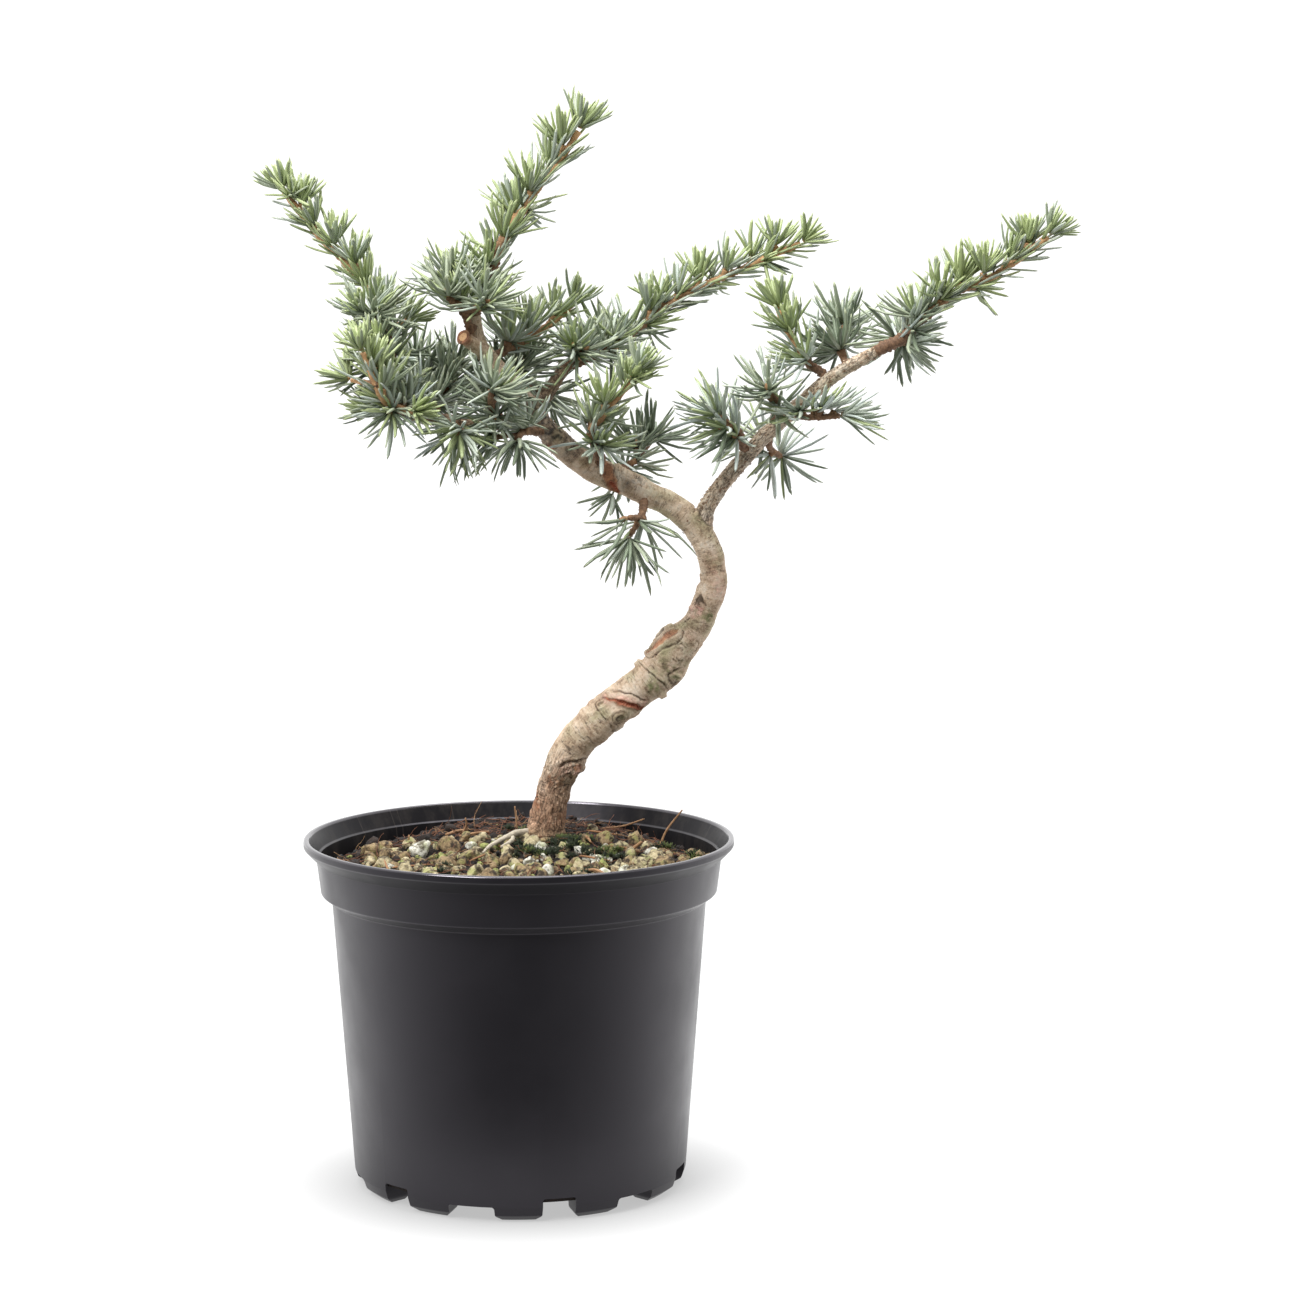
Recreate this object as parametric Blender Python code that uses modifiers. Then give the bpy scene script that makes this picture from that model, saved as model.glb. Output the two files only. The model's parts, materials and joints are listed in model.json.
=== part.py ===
"""A young blue cedar with a bent, trained trunk, growing in a round black nursery pot.

The pot, its soil, the trunk, each bough and each mass of needles is a solid of its own. A mass is
one twig with its side twigs and its tufts of needles fused on. The origin is the middle of the
pot's underside. X runs along the spread of the crown, Y through its depth from front to back, and
Z up. Sizes are written in millimetres and turned into metres by MM.
"""

import math
import random

import bmesh
import bpy
import numpy
from mathutils import Matrix, Vector
from mathutils.kdtree import KDTree

MM = 0.001
SEED = 2024
GAP = 0.3
MERGE_DISTANCE = 0.01

# Pot: a three litre pot, measured over its rim
POT_RIM_R = 95.0
POT_MOUTH_R = 92.8
POT_HEIGHT = 154.5
POT_LIP_DROP = 3.0
POT_LIP_CURL_R = 93.0
POT_LIP_CURL_Z = 149.4
POT_BAND_TOP_R = 89.4
POT_BAND_TOP_Z = 145.8
POT_BAND_BOTTOM_R = 87.5
POT_BAND_BOTTOM_Z = 131.0
POT_BODY_TOP_R = 82.7
POT_BODY_TOP_Z = 127.6
POT_BODY_BOTTOM_R = 73.8
POT_BODY_BOTTOM_Z = 6.5
POT_WALL = 1.5
POT_STEP_DROP = 2.0
POT_FOOT_R = 68.9
POT_FOOT_ROUND = 2.6
POT_FOOT_INNER_R = 61.0
POT_FOOT_DRAFT = 1.0
POT_FLOOR_UNDER_Z = 6.0
POT_FLOOR_TOP_Z = 8.0
POT_PAD_R = 15.0
POT_PAD_FLARE = 3.5
POT_PAD_THICKNESS = 2.0
POT_STEPS = 48

# Feet: six pairs, with a drain slot inside each pair and a plain gap between pairs
FOOT_PAIRS = 6
FIRST_PAIR_ANGLE = 13.0
DRAIN_SLOT_WIDTH = 14.5
DRAIN_SLOT_TOP = 10.2
PLAIN_GAP_WIDTH = 20.5
PLAIN_GAP_TOP = 6.6
GAP_CUTTER_DEPTH = 24.0
CUTTER_OVERLAP = 2.0

# Soil: almost flat, with a low mound round the foot of the trunk
SOIL_EDGE_Z = 144.6
SOIL_MOUND_Z = 147.5
SOIL_MOUND_FLAT_R = 22.0
SOIL_MOUND_FALL = 48.0
SOIL_RING_STEP = 11.0
SOIL_WAVE_HEIGHT = 0.7
SOIL_WAVE_LENGTH = 31.0

# Sides of the round pieces, as bevel resolutions: 4 gives 12 sides, 3 gives 10 and 0 gives 4
TRUNK_SIDES = 4
BOUGH_SIDES = 3
TWIG_SIDES = 0
LIMB_STEP = 8.0
TWIG_STEP = 9.0

# Limbs: stations of (x, y, z, radius) along each one, from its foot to its tip
TRUNK_STATIONS = [
    (12, 42, 147.8, 9.0), (12, 42, 150.3, 8.4), (14, 40, 161, 7.3), (17, 39, 173, 7.2),
    (20, 37, 180, 7.9), (25, 36, 190, 8.2), (34, 34, 199, 8.6), (43, 33, 207, 8.8),
    (54, 32, 216, 8.4), (64, 31, 224, 9.3), (71, 29, 235, 9.1), (79, 28, 244, 6.7),
    (84, 27, 254, 6.6), (87, 25, 264, 5.9), (86, 23, 275, 5.7), (81, 21, 286, 5.7),
    (75, 20, 294, 5.8),
]
LEFT_BOUGH_STATIONS = [
    (75, 20, 294, 5.8), (67, 19, 300, 5.6), (57, 18, 305, 5.7), (45, 16, 311, 5.9),
    (33, 14, 316, 5.7), (25, 12, 322, 5.4), (16, 9, 330, 5.0), (6, 5, 343, 4.4),
    (-5, 1, 357, 3.9), (-11, 0, 364, 3.7), (-17, -2, 373, 3.4), (-19, -3, 385, 3.0),
]
RIGHT_BOUGH_STATIONS = [
    (81, 21, 289, 4.0), (84, 20, 299, 3.7), (90, 18, 308, 3.5), (98, 15, 318, 3.4),
    (108, 10, 330, 3.3), (122, 5, 343, 3.2), (135, 0, 355, 2.9), (143, -4, 361, 2.8),
    (157, -8, 369, 2.4),
]
LEFT_LIMB_STATIONS = [
    (6, 5, 343, 3.2), (-4, 1, 338, 2.9), (-16, -8, 337, 2.7), (-28, -13, 339, 2.6),
    (-42, -18, 341, 2.5), (-52, -22, 345, 2.3),
]
INNER_LIMB_STATIONS = [
    (5, 5, 342, 3.3), (11, 11, 347, 3.3), (16, 16, 353, 2.9), (20, 22, 359, 2.4),
]
CUT_STUB_STATIONS = [(-13, -1, 367, 3.2), (-18, -7, 371, 3.0), (-23, -13, 375, 2.8)]

# Needles, and the tuft that they grow from at the end of each short spur
NEEDLE = 22.0
YOUNG_NEEDLE = 14.5
HANGING_NEEDLE = 26.0
LEADER_LENGTH = 1.3
NEEDLE_SPREAD = 0.14
SHORTEST_NEEDLE = 5.0
TUFT_R = 2.0
TUFT_LEAN = 0.3
SPUR_LEAN = 0.7
TUFT_OFFSET = 2.3
TUFT_SPACING = 12.0
FIRST_TUFT = 8.0
GOLDEN_ANGLE = math.radians(137.5)
TWIG_TIP_R = 0.8
SIDE_TWIG_R = 1.2

# Clearances that end a needle: to other masses, to bark, to needles, tufts and twigs of its own
MASS_MARGIN = 1.8
BARK_MARGIN = 1.6
NEEDLE_MARGIN = 1.9
TUFT_MARGIN = 3.2
TWIG_MARGIN = 1.9
NEEDLE_CHECK_STEP = 2.0
SKELETON_STEP = 2.0

# Masses: the limb each grows from, whether from its tip, its root radius, its main twig and its
# side twigs as points from root to tip, and its needle length at the root and at the tip
TIP = "tip"
SIDE = "side"
MASSES = {
    "far_left_shoot": ("left_limb", TIP, 2.2, [
        [(-52, -22, 345), (-54, -16, 360), (-57, -8, 378), (-63, -4, 394), (-74, -2, 407),
         (-85, -1, 418), (-92, 0, 427), (-100, 2, 437)],
        [(-55, -14, 364), (-60, -28, 371)],
        [(-57, -9, 376), (-49, 2, 381)],
        [(-58, -8, 379), (-66, -17, 385)],
    ], NEEDLE, YOUNG_NEEDLE),
    "front_left_tuft": ("left_limb", SIDE, 1.6, [
        [(-46, -19, 343), (-53, -36, 347), (-57, -43, 351), (-62, -48, 363), (-65, -50, 370)],
        [(-54, -38, 348), (-44, -46, 345)],
        [(-52, -34, 347), (-61, -32, 345)],
        [(-59, -45, 356), (-70, -38, 358)],
    ], NEEDLE, YOUNG_NEEDLE),
    "lower_left_tuft": ("left_limb", SIDE, 1.5, [
        [(-28, -13, 339), (-25, -26, 336), (-24, -34, 337)],
    ], NEEDLE, NEEDLE),
    "left_back_tuft": ("left_limb", SIDE, 1.5, [
        [(-33, -15, 340), (-37, 8, 345), (-42, 27, 352), (-46, 38, 360)],
        [(-37, 9, 345), (-27, 22, 361)],
    ], NEEDLE, NEEDLE),
    "crown_tuft": ("left_bough", SIDE, 1.5, [
        [(-18, -3, 379), (-23, -12, 386), (-29, -20, 392)],
        [(-21, -9, 384), (-14, -26, 389)],
        [(-22, -10, 385), (-28, -4, 399)],
    ], NEEDLE, NEEDLE),
    "top_shoot": ("left_bough", TIP, 2.6, [
        [(-19, -3, 385), (-14, -2, 392), (-11, 0, 403), (-7, 0, 414), (2, 2, 428), (6, 2, 434),
         (15, 4, 446), (22, 5, 455), (27, 6, 463)],
    ], NEEDLE, 18.0),
    "inner_shoot": ("left_bough", SIDE, 1.5, [
        [(-11, 0, 365), (-3, 12, 369), (7, 20, 374), (17, 27, 381), (24, 31, 387)],
    ], NEEDLE, YOUNG_NEEDLE),
    "right_top_shoot": ("inner_limb", TIP, 2.1, [
        [(20, 22, 359), (28, 25, 363), (37, 27, 367), (48, 30, 373), (60, 32, 382),
         (79, 34, 394), (96, 36, 401), (111, 36, 408), (126, 36, 414)],
        [(27, 24, 363), (25, 9, 369)],
        [(40, 28, 369), (38, 42, 374)],
    ], NEEDLE, YOUNG_NEEDLE),
    "front_centre_tuft": ("left_limb", SIDE, 1.5, [
        [(-9, -3, 338), (-11, -22, 346), (-11, -37, 353)],
    ], NEEDLE, NEEDLE),
    "lower_centre_tuft": ("left_bough", SIDE, 1.5, [
        [(10, 7, 337), (3, -10, 334), (0, -20, 332)],
        [(3, -10, 334), (-9, -15, 332)],
    ], NEEDLE, NEEDLE),
    "centre_back_tuft": ("left_bough", SIDE, 1.6, [
        [(-2, 2, 354), (0, 25, 357), (4, 46, 362)],
        [(0, 24, 357), (14, 40, 346)],
        [(0, 27, 357), (-17, 43, 352)],
    ], NEEDLE, NEEDLE),
    "middle_shoot": ("left_bough", SIDE, 1.6, [
        [(33, 14, 316), (32, -2, 333), (36, -8, 340), (45, -14, 351), (52, -18, 360)],
    ], NEEDLE, YOUNG_NEEDLE),
    "back_fan": ("left_bough", SIDE, 1.5, [
        [(48, 17, 310), (51, 35, 317), (60, 45, 326)],
    ], NEEDLE, NEEDLE),
    "hanging_tuft": ("left_bough", SIDE, 1.5, [
        [(54, 17, 306), (54, 5, 295), (49, 0, 288)],
        [(54, 6, 297), (49, -5, 296)],
    ], HANGING_NEEDLE, HANGING_NEEDLE),
    "bough_left_tuft": ("right_bough", SIDE, 1.4, [
        [(105, 11, 326), (97, 2, 333), (87, -6, 340)],
    ], NEEDLE, NEEDLE),
    "bough_small_tuft": ("right_bough", SIDE, 1.3, [
        [(117, 7, 339), (113, -5, 346), (109, -13, 351)],
    ], NEEDLE, NEEDLE),
    "bough_upper_shoot": ("right_bough", SIDE, 1.6, [
        [(133, 1, 354), (128, 6, 362), (123, 9, 369), (118, 11, 377), (115, 13, 385)],
    ], NEEDLE, 16.0),
    "bough_back_tuft": ("right_bough", SIDE, 1.4, [
        [(141, -4, 361), (143, 11, 366), (144, 20, 378)],
    ], NEEDLE, NEEDLE),
    "bough_end_shoot": ("right_bough", TIP, 2.2, [
        [(157, -8, 369), (165, -10, 373), (177, -12, 384), (189, -14, 394), (202, -15, 399),
         (214, -17, 407), (228, -20, 418)],
        [(163, -9, 372), (171, 6, 373)],
    ], NEEDLE, YOUNG_NEEDLE),
    "bough_lower_shoot": ("right_bough", SIDE, 1.4, [
        [(122, 5, 343), (126, -10, 340), (139, -17, 341)],
    ], NEEDLE, NEEDLE),
    "bough_under_tuft": ("right_bough", SIDE, 1.4, [
        [(108, 10, 330), (112, 25, 324), (117, 33, 320)],
    ], NEEDLE, NEEDLE),
}

# Finishes as linear colours
POT_BLACK = (0.014, 0.015, 0.017)
SOIL_TAN = (0.30, 0.24, 0.14)
BARK_TAN = (0.30, 0.22, 0.14)
NEEDLE_BLUE_GREEN = (0.16, 0.27, 0.22)


def clear_scene():
    """Remove whatever the scene holds."""
    for old in list(bpy.data.objects):
        bpy.data.objects.remove(old, do_unlink=True)


def new_collection(name):
    collection = bpy.data.collections.new(name)
    bpy.context.scene.collection.children.link(collection)
    return collection


def principled(name, colour, roughness, metallic=0.0):
    """A plain Principled material."""
    material = bpy.data.materials.new(name)
    material.use_nodes = True
    shader = material.node_tree.nodes["Principled BSDF"]
    shader.inputs["Base Color"].default_value = (*colour, 1.0)
    shader.inputs["Roughness"].default_value = roughness
    shader.inputs["Metallic"].default_value = metallic
    return material


def evaluated_mesh(source):
    """The mesh of an object with its modifiers, bevels and caps."""
    bpy.context.view_layer.update()
    graph = bpy.context.evaluated_depsgraph_get()
    return bpy.data.meshes.new_from_object(source.evaluated_get(graph))


def mesh_object(name, mesh, collection):
    made = bpy.data.objects.new(name, mesh)
    collection.objects.link(made)
    return made


def shade_round(mesh, angle=40.0):
    mesh.shade_smooth()
    mesh.set_sharp_from_angle(angle=math.radians(angle))


def metres(station):
    """A station of millimetres as a vector of metres, with its radius if it has one."""
    return Vector([value * MM for value in station])


def spline_point(p0, p1, p2, p3, t):
    """A point between p1 and p2 on a centripetal spline through four stations."""
    knots = [0.0]
    for a, b in ((p0, p1), (p1, p2), (p2, p3)):
        knots.append(knots[-1] + math.sqrt((b.xyz - a.xyz).length))
    k0, k1, k2, k3 = knots
    u = k1 + t * (k2 - k1)
    a1 = p0 * ((k1 - u) / (k1 - k0)) + p1 * ((u - k0) / (k1 - k0))
    a2 = p1 * ((k2 - u) / (k2 - k1)) + p2 * ((u - k1) / (k2 - k1))
    a3 = p2 * ((k3 - u) / (k3 - k2)) + p3 * ((u - k2) / (k3 - k2))
    b1 = a1 * ((k2 - u) / (k2 - k0)) + a2 * ((u - k0) / (k2 - k0))
    b2 = a2 * ((k3 - u) / (k3 - k1)) + a3 * ((u - k1) / (k3 - k1))
    return b1 * ((k2 - u) / (k2 - k1)) + b2 * ((u - k1) / (k2 - k1))


def smooth_line(stations, step):
    """Points of (x, y, z, radius) along a smooth line through stations, about step apart."""
    ends = [stations[0] * 2 - stations[1], *stations, stations[-1] * 2 - stations[-2]]
    line = []
    for i in range(1, len(ends) - 2):
        span = (ends[i + 1].xyz - ends[i].xyz).length
        count = max(1, round(span / step))
        for k in range(count):
            line.append(spline_point(ends[i - 1], ends[i], ends[i + 1], ends[i + 2], k / count))
    line.append(ends[-2].copy())
    return line


def tube(name, line, sides, collection):
    """A capped tube with the given radius at each point of a line, as one closed mesh."""
    curve = bpy.data.curves.new(name, "CURVE")
    curve.dimensions = "3D"
    curve.bevel_depth = MM
    curve.bevel_resolution = sides
    curve.use_fill_caps = True
    spline = curve.splines.new("POLY")
    spline.points.add(len(line) - 1)
    for point, station in zip(spline.points, line):
        point.co = (*station.xyz, 1.0)
        point.radius = station.w / MM
    bent = bpy.data.objects.new(name + "_curve", curve)
    collection.objects.link(bent)
    mesh = evaluated_mesh(bent)
    made = mesh_object(name, mesh, collection)
    made.matrix_world = bent.matrix_world
    bpy.data.objects.remove(bent)
    work = bmesh.new()
    work.from_mesh(mesh)
    bmesh.ops.remove_doubles(work, verts=work.verts, dist=MERGE_DISTANCE * MM)
    bmesh.ops.triangulate(work, faces=work.faces)
    work.to_mesh(mesh)
    work.free()
    return made


def turned(name, profile, collection):
    """A closed turned shape from a profile of (radius, height) that ends on the axis."""
    mesh = bpy.data.meshes.new(name)
    corners = [(radius * MM, 0.0, height * MM) for radius, height in profile]
    mesh.from_pydata(corners, [(i, i + 1) for i in range(len(corners) - 1)], [])
    made = mesh_object(name, mesh, collection)
    screw = made.modifiers.new("turn", "SCREW")
    screw.steps = POT_STEPS
    screw.render_steps = POT_STEPS
    screw.use_merge_vertices = True
    screw.merge_threshold = MERGE_DISTANCE * MM
    return made


def pot_inside():
    """The inner face of the pot from its floor up to its mouth."""
    return [
        (0.0, POT_PAD_THICKNESS),
        (POT_PAD_R - POT_WALL, POT_PAD_THICKNESS),
        (POT_PAD_R - POT_WALL + POT_PAD_FLARE, POT_FLOOR_TOP_Z),
        (POT_BODY_BOTTOM_R - POT_WALL, POT_FLOOR_TOP_Z),
        (POT_BODY_TOP_R - POT_WALL, POT_BODY_TOP_Z - POT_WALL),
        (POT_BAND_BOTTOM_R - POT_WALL, POT_BAND_BOTTOM_Z + POT_WALL),
        (POT_BAND_TOP_R - POT_WALL, POT_BAND_TOP_Z + POT_WALL / 2),
        (POT_MOUTH_R, POT_HEIGHT),
    ]


def pot_outside():
    """The outer face of the pot from its rim down to its underside, with a ring for the feet."""
    return [
        (POT_RIM_R, POT_HEIGHT),
        (POT_RIM_R, POT_HEIGHT - POT_LIP_DROP),
        (POT_LIP_CURL_R, POT_LIP_CURL_Z),
        (POT_BAND_TOP_R, POT_BAND_TOP_Z),
        (POT_BAND_BOTTOM_R, POT_BAND_BOTTOM_Z),
        (POT_BAND_BOTTOM_R - POT_WALL, POT_BAND_BOTTOM_Z - POT_STEP_DROP),
        (POT_BODY_TOP_R, POT_BODY_TOP_Z),
        (POT_BODY_BOTTOM_R, POT_BODY_BOTTOM_Z),
        (POT_BODY_BOTTOM_R - POT_FOOT_ROUND / 2, POT_FOOT_ROUND),
        (POT_FOOT_R, 0.0),
        (POT_FOOT_INNER_R, 0.0),
        (POT_FOOT_INNER_R - POT_FOOT_DRAFT, POT_FLOOR_UNDER_Z),
        (POT_PAD_R + POT_PAD_FLARE, POT_FLOOR_UNDER_Z),
        (POT_PAD_R, 0.0),
        (0.0, 0.0),
    ]


def foot_gap_cutter(angle, width, top, cutters):
    """A box across the foot ring at an angle from the front, cutting up to a height."""
    bpy.ops.mesh.primitive_cube_add(size=1.0)
    cutter = bpy.context.object
    cutter.name = "foot_gap_cutter"
    middle = POT_FOOT_INNER_R + GAP_CUTTER_DEPTH / 2 - CUTTER_OVERLAP
    turn = Matrix.Rotation(math.radians(angle - 90.0), 4, "Z")
    cutter.location = turn @ Vector((middle * MM, 0.0, (top - CUTTER_OVERLAP) / 2 * MM))
    cutter.rotation_euler = (0.0, 0.0, math.radians(angle - 90.0))
    cutter.scale = (GAP_CUTTER_DEPTH * MM, width * MM, (top + CUTTER_OVERLAP) * MM)
    cutter.hide_render = True
    cutter.display_type = "WIRE"
    for holder in list(cutter.users_collection):
        holder.objects.unlink(cutter)
    cutters.objects.link(cutter)
    return cutter


def make_pot(collection, cutters, material):
    """The thin-walled pot with its rim, band, six pairs of feet and six drain slots."""
    pot = turned("pot", pot_inside() + pot_outside(), collection)
    foot_gaps = bpy.data.collections.new("foot_gaps")
    cutters.children.link(foot_gaps)
    for pair in range(FOOT_PAIRS):
        angle = FIRST_PAIR_ANGLE + pair * 360.0 / FOOT_PAIRS
        foot_gap_cutter(angle, DRAIN_SLOT_WIDTH, DRAIN_SLOT_TOP, foot_gaps)
        foot_gap_cutter(angle + 180.0 / FOOT_PAIRS, PLAIN_GAP_WIDTH, PLAIN_GAP_TOP, foot_gaps)
    cut = pot.modifiers.new("foot_gaps", "BOOLEAN")
    cut.operation = "DIFFERENCE"
    cut.operand_type = "COLLECTION"
    cut.collection = foot_gaps
    cut.solver = "EXACT"
    pot.data.materials.append(material)
    return pot


def soil_height(x, y):
    """Height of the soil at a place, in millimetres: a mound at the trunk and low waves."""
    foot_x, foot_y = TRUNK_STATIONS[0][:2]
    away = math.hypot(x - foot_x, y - foot_y)
    fall = min(1.0, max(0.0, (away - SOIL_MOUND_FLAT_R) / SOIL_MOUND_FALL))
    ease = fall * fall * (3.0 - 2.0 * fall)
    wave = math.sin(x / SOIL_WAVE_LENGTH * math.tau) * math.cos(y / SOIL_WAVE_LENGTH * math.tau)
    return SOIL_MOUND_Z + ease * (SOIL_EDGE_Z - SOIL_MOUND_Z + SOIL_WAVE_HEIGHT * wave)


def make_soil(collection, material):
    """The soil that fills the pot, 0.3 mm clear of its inner face."""
    inside = pot_inside()
    lower = [(max(0.0, radius - GAP), height + GAP) for radius, height in inside[:-2]]
    slope = (inside[-2][0] - inside[-3][0]) / (inside[-2][1] - inside[-3][1])
    edge_r = inside[-2][0] - slope * (inside[-2][1] - SOIL_EDGE_Z) - GAP
    rings = int(edge_r / SOIL_RING_STEP)
    surface = [(edge_r * ring / rings, SOIL_EDGE_Z) for ring in range(rings + 1)]
    soil = turned("soil", surface + lower[::-1], collection)
    mesh = evaluated_mesh(soil)
    soil.modifiers.clear()
    soil.data = mesh
    for vertex in mesh.vertices:
        x, y, z = vertex.co / MM
        if abs(z - SOIL_EDGE_Z) < MERGE_DISTANCE and math.hypot(x, y) < edge_r - SOIL_RING_STEP / 2:
            vertex.co.z = soil_height(x, y) * MM
    work = bmesh.new()
    work.from_mesh(mesh)
    bmesh.ops.triangulate(work, faces=work.faces)
    work.to_mesh(mesh)
    work.free()
    mesh.materials.append(material)
    return soil


def straight_joint(before, after):
    """Two lines that meet end on, drawn back to leave a flat-sided gap between them."""
    meet = before[-1]
    way = (after[1].xyz - before[-2].xyz).normalized()
    for line, index, sign in ((before, -1, -1.0), (after, 0, 1.0)):
        inner = 1 if index == 0 else -2
        reach = (line[inner].xyz - meet.xyz).length
        line[inner] = Vector((*(meet.xyz + way * sign * reach), line[inner].w))
        line[index] = Vector((*(meet.xyz + way * sign * GAP * MM / 2), meet.w))


def limb_lines():
    """The smooth centre line and radius of every limb, by name."""
    stations = {
        "trunk": TRUNK_STATIONS,
        "left_bough": LEFT_BOUGH_STATIONS,
        "right_bough": RIGHT_BOUGH_STATIONS,
        "left_limb": LEFT_LIMB_STATIONS,
        "inner_limb": INNER_LIMB_STATIONS,
        "cut_stub": CUT_STUB_STATIONS,
    }
    lines = {}
    for name, limb in stations.items():
        lines[name] = smooth_line([metres(station) for station in limb], LIMB_STEP * MM)
    straight_joint(lines["trunk"], lines["left_bough"])
    return lines


def make_limbs(lines, collection, cutters, material):
    """The trunk and boughs, each cut to fit the limb that carries it."""
    carriers = {
        "right_bough": ("trunk", "left_bough"),
        "left_limb": ("left_bough",),
        "inner_limb": ("left_bough", "left_limb"),
        "cut_stub": ("left_bough",),
    }
    for name, line in lines.items():
        sides = TRUNK_SIDES if name in ("trunk", "left_bough") else BOUGH_SIDES
        limb = tube(name, line, sides, collection)
        for carrier in carriers.get(name, ()):
            wider = [Vector((*point.xyz, point.w + GAP * MM)) for point in lines[carrier]]
            sides = TRUNK_SIDES if carrier in ("trunk", "left_bough") else BOUGH_SIDES
            cutter = tube(name + "_seat_cutter", wider, sides, cutters)
            cutter.hide_render = True
            cutter.display_type = "WIRE"
            seat = limb.modifiers.new("seat_on_" + carrier, "BOOLEAN")
            seat.operation = "DIFFERENCE"
            seat.object = cutter
            seat.solver = "EXACT"
        shade_round(limb.data)
        limb.data.materials.append(material)


def root_points(limb, where, stations, radius):
    """The first two points of a mass's twig, just clear of the bark that carries it."""
    if where == TIP:
        foot = limb[-1].xyz
        out = (limb[-1].xyz - limb[-2].xyz).normalized()
        reach = GAP * MM
    else:
        nearest = min(range(len(limb)), key=lambda i: (limb[i].xyz - stations[0]).length)
        foot = limb[nearest].xyz
        along = limb[min(nearest + 1, len(limb) - 1)].xyz - limb[max(nearest - 1, 0)].xyz
        along.normalize()
        out = stations[1] - foot
        out -= along * out.dot(along)
        out.normalize()
        reach = limb[nearest].w + GAP * MM
    width = radius * MM
    first = foot + out * reach
    second = foot + out * (reach + width)
    return [Vector((*first, width)), Vector((*second, width))]


def twig_lines(limbs, mass):
    """The centre lines of a mass's twigs, the main one first, tapering to their tips."""
    limb_name, where, radius, twigs, _, _ = mass
    lines = []
    for number, points in enumerate(twigs):
        places = [metres(point) for point in points]
        start = SIDE_TWIG_R if number else radius
        last = len(places) - 1
        widths = [(start + (TWIG_TIP_R - start) * i / last) * MM for i in range(last + 1)]
        stations = [Vector((*place, width)) for place, width in zip(places, widths)]
        if number == 0:
            root = root_points(limbs[limb_name], where, places, radius)
            stations = root + stations[1:]
        else:
            nearest = min(lines[0], key=lambda point: (point.xyz - places[0]).length)
            stations[0] = Vector((*nearest.xyz, widths[0]))
        lines.append(smooth_line(stations, TWIG_STEP * MM))
    return lines


def point_along(line, distance):
    """The point and the direction at a distance along a line."""
    for a, b in zip(line, line[1:]):
        span = (b.xyz - a.xyz).length
        if distance <= span:
            return a.xyz.lerp(b.xyz, distance / span), (b.xyz - a.xyz).normalized()
        distance -= span
    return line[-1].xyz, (line[-1].xyz - line[-2].xyz).normalized()


def line_length(line):
    return sum((b.xyz - a.xyz).length for a, b in zip(line, line[1:]))


def tufts_of(lines, mass, random_source):
    """The tufts of a mass: centre, facing, needle length, and whether it leads a shoot."""
    root_needle, tip_needle = mass[4:6]
    tufts = []
    for number, line in enumerate(lines):
        length = line_length(line)
        count = max(1, round((length / MM - FIRST_TUFT) / TUFT_SPACING) + 1)
        turn = random_source.uniform(0.0, math.tau)
        for i in range(count):
            share = i / (count - 1) if count > 1 else 1.0
            distance = FIRST_TUFT * MM + share * (length - FIRST_TUFT * MM)
            place, way = point_along(line, distance)
            needle = root_needle + (tip_needle - root_needle) * share
            if i == count - 1:
                tufts.append((place, way, needle * MM, mass[1] == TIP and number == 0))
                continue
            turn += GOLDEN_ANGLE
            across = way.orthogonal().normalized()
            out = Matrix.Rotation(turn, 3, way) @ across
            facing = (out + way * SPUR_LEAN).normalized()
            tufts.append((place + out * TUFT_OFFSET * MM, facing, needle * MM, False))
    return tufts


def nearest_tree(points):
    tree = KDTree(len(points))
    for number, point in enumerate(points):
        tree.insert(point, number)
    tree.balance()
    return tree


def skeleton(lines, tufts):
    """Points that stand for a mass's twigs and tufts when space is shared out."""
    points = [centre for centre, *_ in tufts]
    for line in lines:
        steps = int(line_length(line) / (SKELETON_STEP * MM))
        points += [point_along(line, k * SKELETON_STEP * MM)[0] for k in range(steps + 1)]
    return points


def limb_samples(limbs):
    """Centre points and radii close together along every limb."""
    centres = []
    radii = []
    for line in limbs.values():
        for a, b in zip(line, line[1:]):
            steps = max(1, round((b.xyz - a.xyz).length / MM))
            for k in range(steps):
                between = a.lerp(b, k / steps)
                centres.append(between.xyz)
                radii.append(between.w)
        centres.append(line[-1].xyz)
        radii.append(line[-1].w)
    return centres, radii


class Room:
    """The space of one mass: near its own twigs, away from bark and from what has grown."""

    def __init__(self, bones, other_bones, limbs, lines):
        centres, self.bark_radii = limb_samples(limbs)
        self.bark = nearest_tree(centres)
        self.own = nearest_tree(bones)
        self.others = nearest_tree(other_bones)
        self.grown = []
        self.margins = []
        for line in lines:
            steps = int(line_length(line) / (NEEDLE_CHECK_STEP * MM))
            for k in range(steps + 1):
                self.add(point_along(line, k * NEEDLE_CHECK_STEP * MM)[0], TWIG_MARGIN)

    def add(self, place, margin):
        self.grown.append(tuple(place))
        self.margins.append(margin * MM)

    def is_free(self, place):
        """Whether a point lies in this mass's space and clear of everything in it."""
        if self.others.find(place)[2] - self.own.find(place)[2] < MASS_MARGIN * MM:
            return False
        _, number, away = self.bark.find(place)
        if away < self.bark_radii[number] + BARK_MARGIN * MM:
            return False
        gaps = numpy.linalg.norm(numpy.array(self.grown) - numpy.array(place), axis=1)
        return bool(numpy.all(gaps > numpy.array(self.margins)))

    def free_length(self, start, way, length):
        """How long a needle may be before it leaves the free space."""
        checks = max(1, math.ceil(length / (NEEDLE_CHECK_STEP * MM)))
        for check in range(1, checks + 1):
            if not self.is_free(start + way * (length * check / checks)):
                return length * (check - 1) / checks
        return length


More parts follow.
